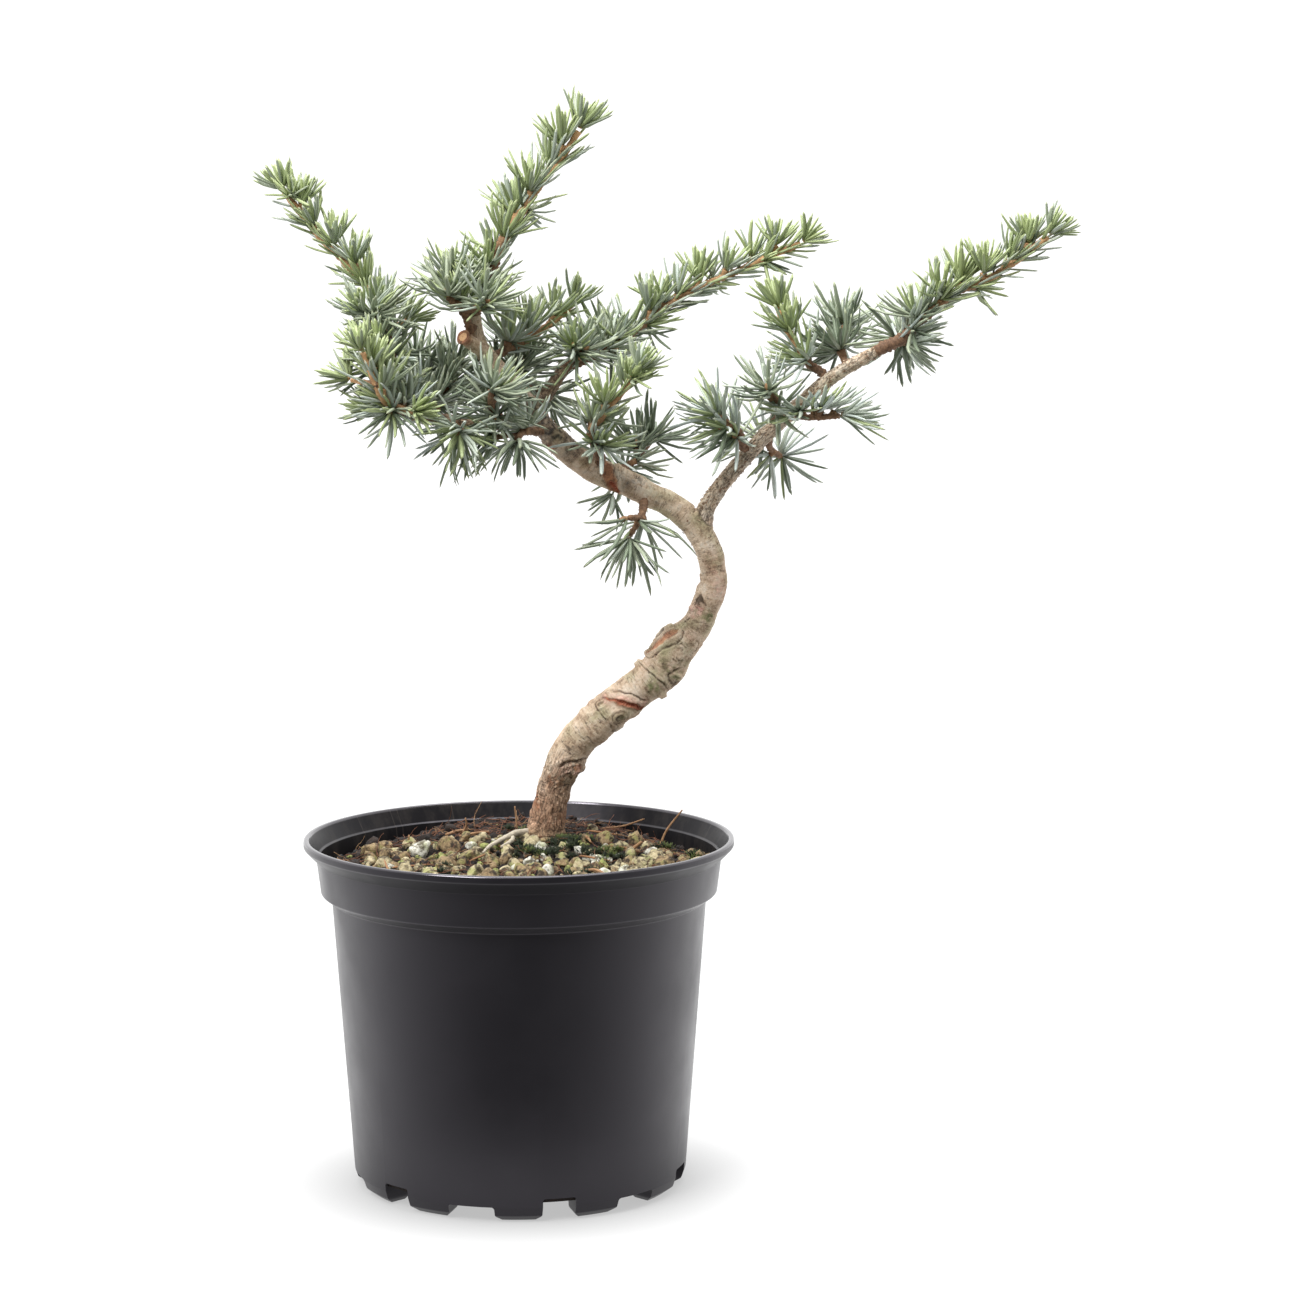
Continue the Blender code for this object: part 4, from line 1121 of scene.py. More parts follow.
# Marks on the bark, as places in millimetres on its surface, each with a half width and a height
GROOVES = (
    ([(33.8, 28.3, 208.3), (36.4, 25.4, 205.6), (39.5, 24.9, 202.0), (42.2, 27.3, 198.5)], 0.34, 0.5),
    ([(54.4, 30.0, 227.2), (55.3, 27.6, 226.8), (58.7, 23.0, 224.3), (61.8, 22.3, 221.7),
      (64.9, 23.5, 218.8), (66.9, 27.2, 216.0)], 0.4, 0.8),
    ([(41.8, 27.4, 214.9), (45.3, 25.6, 215.1), (49.8, 24.2, 214.3), (54.3, 24.5, 212.4),
      (57.0, 26.0, 211.2)], 0.36, 0.7),
    ([(57.0, 30.1, 229.6), (57.9, 27.8, 230.0), (60.9, 24.1, 231.4), (64.0, 22.5, 233.9),
      (67.5, 20.8, 236.1), (70.6, 20.8, 237.5), (72.9, 21.0, 239.7), (73.9, 21.5, 242.4),
      (73.0, 22.6, 244.5)], 0.36, 0.6),
    ([(61.5, 30.5, 238.2), (66.0, 28.0, 242.0)], 0.5, 0.5),
    ([(18.4, 29.5, 180.5), (20.7, 29.0, 182.9), (26.5, 29.7, 183.4), (31.0, 35.0, 184.0)], 0.7, 1.0),
    ([(78.7, 23.0, 254.3), (80.9, 22.1, 259.3)], 0.5, 0.6),
    ([(80.9, 22.1, 259.3), (83.5, 20.5, 254.1)], 0.45, 0.6),
    ([(76.5, 23.0, 248.9), (73.9, 24.2, 246.6), (72.5, 23.1, 244.0)], 0.36, 0.5),
    ([(79.2, 22.0, 238.7), (80.6, 23.9, 237.1), (79.7, 24.4, 234.8), (77.4, 23.4, 232.7)], 0.36, 0.4),
    ([(70.2, 20.6, 236.7), (72.8, 20.4, 236.9), (75.1, 21.1, 235.3)], 0.4, 0.5),
    ([(71.9, 20.3, 235.4), (73.3, 20.7, 234.0)], 0.4, 0.4),
    ([(68.8, 20.4, 230.9), (70.2, 21.3, 228.1)], 0.3, 0.3),
    ([(70.2, 20.5, 231.3), (71.4, 21.2, 229.0)], 0.3, 0.3),
    ([(73.3, 22.9, 225.9), (69.4, 22.3, 225.4), (67.2, 22.8, 223.2), (67.2, 23.8, 220.6),
      (68.6, 25.5, 219.0), (72.0, 27.0, 219.0)], 0.75, 0.6),
    ([(76.5, 22.0, 248.0), (80.0, 20.6, 246.5), (84.0, 22.0, 246.0)], 0.34, 0.4),
    ([(29.5, 29.4, 202.0), (33.5, 26.6, 198.5), (37.5, 28.0, 194.5)], 0.3, 0.3),
    ([(26.0, 29.6, 197.5), (30.5, 27.0, 194.6), (34.5, 28.8, 191.0)], 0.3, 0.3),
)
ROLLS = (
    ([(39.2, 29.4, 213.8), (46.2, 24.6, 213.0), (52.5, 24.5, 211.2), (57.0, 26.5, 210.3)], 1.3, 0.7),
    ([(56.8, 33.0, 230.5), (58.4, 32.2, 234.6), (61.4, 31.0, 238.0), (65.4, 29.8, 241.2),
      (69.5, 28.2, 243.8)], 1.5, 1.4),
    ([(58.0, 28.6, 231.4), (61.0, 25.6, 233.9), (64.4, 23.2, 235.5), (68.0, 22.1, 238.4),
      (71.6, 22.0, 240.8), (73.2, 22.0, 243.0)], 1.05, 0.8),
    ([(57.4, 24.0, 226.6), (61.0, 22.4, 223.8), (64.5, 23.0, 220.6)], 0.8, 0.4),
    ([(21.0, 30.0, 178.8), (26.1, 33.0, 178.4), (29.0, 36.0, 179.2)], 1.8, 1.2),
    ([(4.5, 36.0, 149.0), (8.0, 34.9, 153.5)], 3.0, 1.6),
    ([(44.8, 18.5, 318.0), (43.6, 11.0, 314.8), (44.2, 10.4, 310.2), (46.0, 12.9, 306.4)], 1.2, 0.8),
    ([(35.0, 16.5, 321.0), (36.3, 10.5, 316.6), (37.9, 9.6, 311.4)], 1.0, 0.5),
    ([(53.0, 31.0, 226.0), (54.4, 31.0, 228.6)], 1.9, 1.9),
    ([(63.3, 27.1, 213.2), (65.4, 28.0, 214.6)], 2.1, 2.0),
    ([(71.0, 24.8, 221.4), (72.0, 24.6, 222.6)], 2.2, 1.3),
    ([(76.3, 24.4, 251.9), (77.0, 24.6, 253.5)], 1.7, 1.2),
    ([(80.0, 18.5, 293.0), (83.5, 16.9, 295.5), (87.0, 18.0, 296.0)], 1.2, 0.7),
    ([(42.5, 29.0, 197.0), (46.0, 30.5, 199.5)], 2.2, 0.9),
)
WOUNDS = (
    ([(38.2, 27.5, 211.9), (41.8, 25.5, 211.5), (45.3, 24.5, 210.8), (48.9, 24.2, 209.9),
      (52.5, 25.3, 208.8), (54.8, 27.7, 207.8)], 0.5, 0.5),
    ([(44.0, 24.8, 211.0), (48.9, 24.2, 209.8), (52.5, 25.3, 208.6), (55.5, 28.0, 207.8)], 0.9, 0.6),
    ([(41.0, 10.4, 310.4), (42.6, 12.5, 307.2), (44.2, 15.5, 305.2)], 1.2, 0.7),
    ([(15.6, 5.6, 326.0), (13.2, 6.0, 326.4)], 1.0, -0.5),
)
HEALED = (
    ([(58.4, 31.0, 230.8), (59.6, 28.8, 233.7), (61.1, 26.9, 235.9), (64.1, 24.4, 238.4),
      (67.2, 23.7, 240.9), (70.7, 23.3, 243.2)], 2.0, 0.5),
    ([(24.4, 30.1, 180.4), (27.6, 32.5, 180.2)], 1.9, 0.0),
    ([(36.6, 15.5, 321.2), (38.4, 11.4, 318.2), (39.8, 9.6, 314.2), (41.5, 10.7, 309.1),
      (43.8, 14.8, 305.4)], 2.3, 0.6),
)
KNOTS = (
    ((36.9, 26.8, 209.0), 2.0), ((45.3, 25.6, 203.2), 2.3), ((72.4, 21.4, 229.8), 1.0),
    ((91.2, 31.0, 262.0), 1.8), ((61.0, 40.2, 226.0), 2.2), ((30.0, 42.5, 196.0), 2.0),
    ((74.5, 37.0, 240.0), 1.6),
)
STAINS = (
    ("red", (8.5, 37.0, 164.5), 4.0, 0.8), ("red", (24.0, 30.5, 180.0), 5.0, 0.5),
    ("red", (14.5, 32.5, 175.0), 4.0, 0.3), ("red", (79.5, 21.3, 251.8), 3.0, 0.5),
    ("red", (87.3, 18.0, 272.3), 4.0, 0.4), ("red", (91.0, 22.0, 262.0), 6.0, 0.3),
    ("red", (20.0, 41.0, 156.0), 4.0, 0.5), ("pink", (39.0, 27.5, 213.0), 2.4, 0.8),
    ("pink", (43.5, 24.8, 212.9), 2.6, 0.9), ("pink", (48.5, 24.5, 212.0), 2.4, 0.8),
    ("pink", (53.5, 25.2, 210.8), 2.2, 0.7), ("pink", (38.5, 26.0, 209.5), 1.6, 0.6),
    ("pink", (25.5, 30.5, 178.5), 3.0, 0.6), ("pink", (77.5, 22.5, 251.5), 2.6, 0.7),
    ("pink", (90.0, 20.6, 261.5), 3.5, 0.6), ("pink", (57.0, 25.5, 226.5), 3.0, 0.3),
    ("tone", (10.7, 34.8, 169.5), 1.0, 0.9), ("tone", (83.1, 20.6, 262.2), 3.0, 0.35),
    ("tone", (50.0, 24.5, 219.0), 6.0, 0.22), ("tone", (58.0, 23.5, 225.0), 4.0, 0.2),
    ("tone", (83.5, 16.0, 283.0), 5.0, 0.25), ("tone", (55.0, 11.5, 307.5), 6.0, 0.3),
    ("algae", (83.5, 20.9, 250.1), 3.5, 0.7), ("algae", (70.0, 23.0, 222.0), 5.0, 0.8),
    ("algae", (64.5, 22.5, 228.0), 5.0, 0.4), ("algae", (61.0, 24.0, 216.0), 4.0, 0.5),
    ("algae", (75.0, 22.0, 236.0), 4.0, 0.5), ("algae", (34.0, 26.5, 202.0), 6.0, 0.25),
    ("dark_marks_and_shade", (22.1, 28.6, 189.8), 2.4, 0.35), ("dark_marks_and_shade", (29.2, 28.3, 189.3), 2.0, 0.35),
    ("dark_marks_and_shade", (80.5, 22.0, 257.0), 2.4, 0.45), ("dark_marks_and_shade", (59.2, 12.9, 302.6), 3.0, 0.2),
    ("dark_marks_and_shade", (69.4, 14.6, 295.8), 1.8, 0.5), ("red", (30.0, 9.0, 318.0), 5.0, 0.35),
    ("red", (12.0, 4.0, 326.0), 2.0, 0.6), ("red", (50.0, 12.0, 304.0), 4.0, 0.3),
    # Darker tone on the upper front of the left bough: partly its darker bark, partly painted shadow of
    # the needles above.
    ("tone", (6.0, 0.6, 345.0), 7.0, -0.5), ("tone", (15.0, 4.0, 335.0), 7.0, -0.45),
    ("tone", (25.0, 7.5, 327.0), 6.0, -0.35), ("tone", (34.0, 10.0, 321.5), 4.0, -0.2),
    ("tone", (40.0, 26.0, 211.5), 2.0, 0.3), ("tone", (-22.6, -12.5, 374.6), 3.6, -0.35),
    ("pink", (56.1, 26.8, 209.8), 2.2, 0.8), ("pink", (80.0, 21.3, 252.3), 3.2, 0.8),
    ("algae", (84.5, 21.4, 249.6), 2.6, 0.9), ("dark_marks_and_shade", (81.2, 21.8, 256.5), 1.8, 0.6),
    ("dark_marks_and_shade", (80.9, 17.6, 295.8), 2.8, 0.6), ("grey", (49.5, 11.0, 309.5), 4.0, 0.7),
    ("grey", (61.0, 13.5, 302.5), 3.6, 0.6), ("dark_marks_and_shade", (67.5, 16.0, 299.0), 1.6, 0.4),
    ("dark_marks_and_shade", (52.5, 13.0, 313.0), 2.4, 0.35), ("tone", (56.0, 12.0, 308.5), 4.0, 0.3),
    ("grey", (4.0, 1.0, 345.0), 9.0, 0.9), ("grey", (14.0, 3.0, 334.0), 8.0, 0.9),
    ("grey", (23.0, 7.0, 326.5), 6.0, 0.6), ("grey", (33.0, 10.0, 322.0), 3.5, 0.3),
    ("pink", (20.5, 29.5, 179.5), 3.6, 0.55), ("red", (16.0, 31.5, 172.5), 5.0, 0.35),
    ("tone", (54.0, 11.5, 309.0), 2.6, 0.4), ("tone", (47.0, 11.0, 313.0), 2.6, 0.3),
    ("pink", (62.0, 22.5, 232.5), 2.2, 0.3), ("pink", (76.5, 21.5, 240.5), 2.6, 0.35),
    ("tone", (74.0, 20.8, 232.0), 2.6, 0.3), ("tone", (77.5, 21.3, 243.0), 2.8, 0.3),
    ("algae", (60.5, 23.0, 218.5), 3.4, 0.5), ("algae", (72.0, 21.6, 246.8), 2.6, 0.5),
    ("pink", (88.5, 19.0, 268.0), 3.0, 0.4), ("pink", (86.0, 17.6, 276.0), 2.6, 0.35),
    ("dark_marks_and_shade", (25.0, 28.4, 189.0), 3.4, 0.3), ("tone", (36.9, 26.5, 209.4), 1.0, 0.5),
    ("dark_marks_and_shade", (45.3, 25.4, 203.0), 1.4, 0.5), ("tone", (71.5, 24.0, 222.5), 1.6, 0.3),
)

# Scars of the wire on the far side: runs along the main line that each half turn starts and ends at
WIRE_TURNS = ((36.0, 63.0), (76.0, 97.0), (120.0, 146.0), (170.0, 198.0), (226.0, 248.0))
BARK_VOXEL = 0.52
# Tone added to each limb's bark: the right bough's own paler bark, and the darker left and inner limbs
# as painted shade.
LIMB_TONES_AND_SHADE = {"right_bough": 0.2, "left_limb": -0.28, "inner_limb": -0.28}


# Limbs with flakes: how wide apart they stand, and the shares of the limb where they start and end
FLAKY_RUNS = (
    ("right_bough", 1.0, 0.0, 1.0), ("trunk", 4.0, 0.02, 0.2), ("trunk", 9.0, 0.9, 1.0),
    ("left_limb", 1.0, 0.05, 1.0), ("inner_limb", 1.0, 0.05, 1.0), ("left_bough", 3.0, 0.45, 0.75),
)


def bark_finish():
    """Bark coloured by its mesh's marks, with fine cracks and wrinkles that follow each limb."""
    made = Finish("bark", (0.4, 0.3, 0.2), 0.8)
    unrolled = made.node("ShaderNodeAttribute", attribute_name="unrolled").outputs["Vector"]

    def grained(across, along, detail, roughness, distortion):
        mapping = made.node("ShaderNodeMapping")
        mapping.inputs["Scale"].default_value = (1.0 / across, 1.0 / across, 1.0 / along)
        made.link(unrolled, mapping.inputs["Vector"])
        return made.noise(1000.0, detail, roughness, mapping.outputs["Vector"], distortion)

    def thin_lines(across, along, width, distortion):
        """Thin lines where a stretched noise crosses its middle, as 1 on the line."""
        level = grained(across, along, 2.5, 0.6, distortion)
        away = made.math("ABSOLUTE", made.math("SUBTRACT", level, 0.5), 0.0)
        return made.spread(away, 0.0, width, 1.0, 0.0)

    flaky = made.attribute("flaky")
    smooth = made.math("SUBTRACT", 1.0, flaky)
    fibre = grained(1.0, 2.6, 4.0, 0.7, 1.0)
    wrinkle = grained(5.0, 0.8, 4.0, 0.72, 0.5)
    stretch = grained(1.2, 4.5, 5.0, 0.72, 1.2)
    fine = made.noise(0.6, 4.0, 0.8)
    blots = grained(1.6, 1.2, 3.0, 0.6, 0.4)
    creases = made.math("MULTIPLY", thin_lines(9.0, 2.0, 0.045, 0.5),
                        made.spread(made.noise(8.0, 2.0), 0.45, 0.6))
    splits = thin_lines(1.5, 4.2, 0.07, 1.0)
    creased = made.math("ADD", made.math("MULTIPLY", wrinkle, 0.5),
                        made.math("MULTIPLY", stretch, 0.5))
    lines = made.math("ADD", made.math("MULTIPLY", fibre, flaky),
                      made.math("MULTIPLY", creased, smooth))
    rough_tone = made.math("ADD", made.spread(lines, 0.34, 0.66, -0.26, 0.2),
                           made.spread(fine, 0.35, 0.65, -0.17, 0.14))
    pale = made.spread(blots, 0.58, 0.66, 0.0, 0.12)
    tone = made.math("ADD", made.attribute("tone"), made.math("ADD", rough_tone, pale))
    base = made.ramp(tone, (0.0, (0.12, 0.072, 0.045)), (0.3, (0.38, 0.262, 0.172)),
                     (0.6, (0.62, 0.475, 0.34)), (1.0, (0.72, 0.62, 0.50)))
    base = made.mix(made.attribute("grey"), base,
                    made.ramp(tone, (0.0, (0.045, 0.038, 0.032)), (0.9, (0.40, 0.355, 0.305))))
    base = made.mix(made.attribute("red"), base,
                    made.ramp(tone, (0.1, (0.14, 0.045, 0.022)), (0.9, (0.58, 0.27, 0.135))))
    base = made.mix(made.attribute("algae"), base,
                    made.ramp(tone, (0.1, (0.05, 0.052, 0.018)), (0.9, (0.42, 0.41, 0.20))))
    base = made.mix(made.attribute("pink"), base,
                    made.ramp(tone, (0.1, (0.40, 0.17, 0.12)), (0.8, (0.80, 0.52, 0.42))))
    flecks = made.math("MULTIPLY", made.spread(blots, 0.33, 0.40, 0.36, 0.0), smooth)
    flecks = made.math("ADD", flecks, made.math("MULTIPLY", creases, 0.5))
    flecks = made.math("ADD", flecks, made.math("MULTIPLY", splits, made.spread(
        flaky, 0.1, 0.8, 0.1, 0.55)))
    # Dark cracks, creases and splits: partly the bark's own, partly painted shade in them.
    cracks_and_shade = made.math("ADD", made.attribute("dark_marks_and_shade"), flecks)
    cracks_and_shade = made.math("ADD", cracks_and_shade, made.spread(fine, 0.3, 0.7, -0.14, 0.14))
    base = made.mix(made.spread(cracks_and_shade, 0.18, 0.85, 0.0, 0.88), base, (0.06, 0.038, 0.021))
    open_wood = made.ramp(grained(0.5, 2.5, 3.0, 0.6, 0.2), (0.3, (0.15, 0.03, 0.016)),
                          (0.52, (0.45, 0.125, 0.06)), (0.75, (0.66, 0.34, 0.22)))
    made.colour(made.mix(made.attribute("wound"), base, open_wood))
    made.bump(lines, 0.5)
    made.bump(made.math("SUBTRACT", made.math("MULTIPLY", fine, 0.5), flecks), 0.3)
    return made.material


def along_line(places, line, facings=None):
    """How far places lie from a line of points, and at which share of it, along the skin."""
    corners = np.array(line)
    spans = np.linalg.norm(np.diff(corners, axis=0), axis=1)
    nearest = np.full(len(places), np.inf)
    shares = np.zeros(len(places))
    before = 0.0
    for a, b, span in zip(corners, corners[1:], spans):
        step = b - a
        share = np.clip((places - a) @ step / (step @ step), 0.0, 1.0)
        away = places - a - share[:, None] * step
        gap = np.linalg.norm(away, axis=1)
        if facings is not None:
            sunk = np.clip((away * facings).sum(1), -2.5, 2.5)
            gap = np.sqrt(np.maximum(gap * gap - sunk * sunk, 0.0))
        closer = gap < nearest
        nearest = np.where(closer, gap, nearest)
        shares = np.where(closer, (before + share * span) / spans.sum(), shares)
        before += span
    return nearest, shares


def tapered(width, shares):
    """A width that shrinks towards both ends of a line."""
    return width * np.clip(2.3 * np.sqrt(shares * (1.0 - shares)), 0.3, 1.0)


def point_gap(places, point):
    return np.linalg.norm(places - np.array(point), axis=1)


def hump(gap, width):
    return np.exp(-(gap / width) ** 2)


def band(gap, width):
    """1 inside a width, falling to 0 a little outside it."""
    return np.clip((width * 1.25 - gap) / (width * 0.5), 0.0, 1.0)


def wire_scar(line, start, end):
    """Places in millimetres of half a turn round the back of a limb between two runs."""
    places = []
    steps = 12
    for k in range(steps + 1):
        place, way = point_along(line, (start + (end - start) * k / steps) * MM)
        nearest = min(line, key=lambda point: (point.xyz - place).length)
        right = (Vector((1.0, 0.0, 0.0)) - way * way.x).normalized()
        back = way.cross(right)
        back *= math.copysign(1.0, back.y)
        turn = math.pi * k / steps
        out = right * math.cos(turn) + back * math.sin(turn)
        places.append(tuple((place + out * nearest.w) / MM))
    return places


def warped(places):
    """Places shifted a little by noise, so that marks measured from them are uneven."""
    shifted = places.copy()
    for i, place in enumerate(places):
        spot = Vector(place)
        shifted[i] += np.array(noise.noise_vector(spot / 3.2)) * 0.8
        shifted[i] += np.array(noise.noise_vector(spot / 1.1)) * 0.18
    return shifted


def bark_texture(ring, run, flaky):
    """Height in millimetres, tone and darkness of cracks at a place on unrolled bark, with painted shade
    in the folds and between the plates.
    """
    spot = Vector((ring.x, ring.y, run))
    warp = noise.noise_vector(spot / 5.0) * 0.5
    cell = Vector((ring.x / 1.4, ring.y / 1.4, run / 5.0)) + warp
    gaps, seeds = noise.voronoi(cell)
    edge = min(1.0, (gaps[1] - gaps[0]) / 0.3)
    level = math.sin(seeds[0].x * 12.99 + seeds[0].y * 78.2 + seeds[0].z * 37.7) * 0.5 + 0.5
    tilt = cell.z - seeds[0].z
    lump = noise.noise(spot / 8.0)
    patch = noise.noise(spot / 4.5 + Vector((40.0, 0.0, 0.0)))
    grain = noise.noise(Vector((ring.x / 0.8, ring.y / 0.8, run / 4.0)))
    wrinkle = noise.noise(Vector((ring.x / 8.0, ring.y / 8.0, run / 0.9)))
    speck = noise.noise(spot / 1.1)
    fold = 1.0 - min(1.0, abs(noise.noise(Vector((ring.x / 5.0, ring.y / 5.0, run / 2.2)))) / 0.09)
    smooth_height = 0.8 * lump + 0.08 * grain + 0.22 * wrinkle - 0.25 * fold
    plate_height = edge * (0.25 + 0.35 * level + 0.4 * tilt) + 0.5 * lump + 0.12 * grain
    # The folds are darker as well as sunk: painted shade in the creases.
    smooth_tone = 0.6 + 0.36 * patch + 0.1 * grain + 0.14 * wrinkle + 0.12 * speck - 0.12 * fold
    plate_tone = 0.46 + 0.22 * level + 0.12 * speck + 0.2 * patch
    specks = max(0.0, speck - 0.3) * 1.6 * max(0.0, 0.5 + noise.noise(spot / 13.0))
    height = smooth_height + (plate_height - smooth_height) * flaky
    tone = smooth_tone + (plate_tone - smooth_tone) * flaky
    # Dark specks are the bark's own; the dark between the plates is painted shade between parts.
    dark_marks_and_shade = specks * 0.8 * (1.0 - flaky) + (1.0 - edge) * 0.42 * flaky
    green = max(0.0, noise.noise(spot / 8.0 + Vector((0.0, 70.0, 0.0))) - 0.08) * 1.1
    return height, tone, dark_marks_and_shade, green * (1.0 - flaky)


def flakiness(limb, run):
    """How flaky a limb's bark is at a run in millimetres, from 0 to 1."""
    if limb == "main":
        return float(np.interp(run, (18, 34, 46, 175, 240, 300), (1.0, 0.8, 0.16, 0.1, 0.2, 0.5)))
    return {"right_bough": 0.85, "cut_stub": 0.2}.get(limb, 0.8)


def bark_samples(lines):
    """Places along every limb with radius, run, cross directions and limb number."""
    rows = []
    for number, line in enumerate(lines.values()):
        points = np.array([point[:3] for point in line])
        _, across, over = frames_along(points)
        steps = np.linalg.norm(np.diff(points, axis=0), axis=1)
        runs = np.concatenate(([0.0], np.cumsum(steps)))
        for i, point in enumerate(line):
            rows.append((*point, runs[i], *across[i], *over[i], number))
    return np.array(rows)


def mark_bark(places, facings, main_line, height, colours):
    """Press grooves, wounds and knots into the bark and colour them, with painted shade in grooves,
    scars and hollows, at the feet of rolls and on one side of each knot, and a painted highlight in each
    knot's middle.
    """
    patchy = np.array([noise.noise(Vector(place) / 1.7) for place in places])
    patchy = np.clip(0.65 + 1.3 * patchy, 0.0, 1.5)
    # The darkness put in the grooves, wire scars and wounds and at the feet of the rolls is partly the
    # bark's own dark cracks, partly painted shade.
    for line, width, depth in GROOVES:
        gap, shares = along_line(places, line, facings)
        width = tapered(width, shares)
        height -= depth * hump(gap, width)
        height += 0.35 * depth * hump(gap - 2.2 * width, width)
        colours["dark_marks_and_shade"] += 0.8 * hump(gap, width * 0.85) * np.clip(patchy + 0.3, 0.4, 1.0)
        colours["tone"] += 0.12 * hump(gap - 2.4 * width, width)
    for start, end in WIRE_TURNS:
        gap, shares = along_line(places, wire_scar(main_line, start, end), facings)
        height -= 0.7 * hump(gap, 0.8)
        height += 0.6 * hump(gap - 1.9, 1.0)
        colours["dark_marks_and_shade"] += 0.6 * hump(gap, 0.5)
        colours["red"] += 0.5 * hump(gap, 1.8)
    for line, width, rise in ROLLS:
        gap, shares = along_line(places, line, facings)
        width = tapered(width, shares)
        height += rise * hump(gap, width)
        colours["tone"] += 0.16 * hump(gap, width)
        colours["dark_marks_and_shade"] += 0.3 * hump(gap - 1.7 * width, 0.3)
    for line, width, depth in HEALED:
        gap, shares = along_line(places, line, facings)
        width = tapered(width, shares)
        height -= depth * hump(gap, width)
        colours["red"] += 0.95 * band(gap, width)
        colours["dark_marks_and_shade"] += 0.45 * hump(gap - 1.2 * width, 0.3)
    for line, width, depth in WOUNDS:
        gap, shares = along_line(places, line, facings)
        width = tapered(width, shares)
        height -= depth * hump(gap, width)
        height += 0.5 * hump(gap - 1.7 * width, 0.7)
        colours["wound"] += band(gap, width)
        colours["red"] += 0.5 * band(gap, width + 1.0)
        colours["dark_marks_and_shade"] += 0.45 * hump(gap - 1.15 * width, 0.3)
    for place, radius in KNOTS:
        gap = point_gap(places, place)
        # Each knot is darker on one side, as painted shade, and lighter in its middle, as a painted
        # highlight.
        leftward = (place[0] - places[:, 0] + 0.4 * (places[:, 2] - place[2])) / radius
        below = np.clip(0.5 + 0.55 * leftward, 0.05, 1.0)
        height += 0.6 * hump(gap - radius, radius * 0.3) - 0.7 * hump(gap, radius * 0.5)
        height += 0.4 * hump(gap - 1.9 * radius, radius * 0.3)
        colours["dark_marks_and_shade"] += 0.8 * below * hump(gap - radius * 0.62, radius * 0.2)
        colours["dark_marks_and_shade"] += 0.6 * below * hump(gap - radius * 1.45, radius * 0.16)
        colours["algae"] += 0.35 * hump(gap, radius)
        colours["tone"] += 0.25 * hump(gap, radius * 0.4)
    # The darkness stains are partly dark spots of bark, partly painted shade in hollows.
    for name, place, radius, share in STAINS:
        colours[name] += share * hump(point_gap(places, place), radius) * patchy


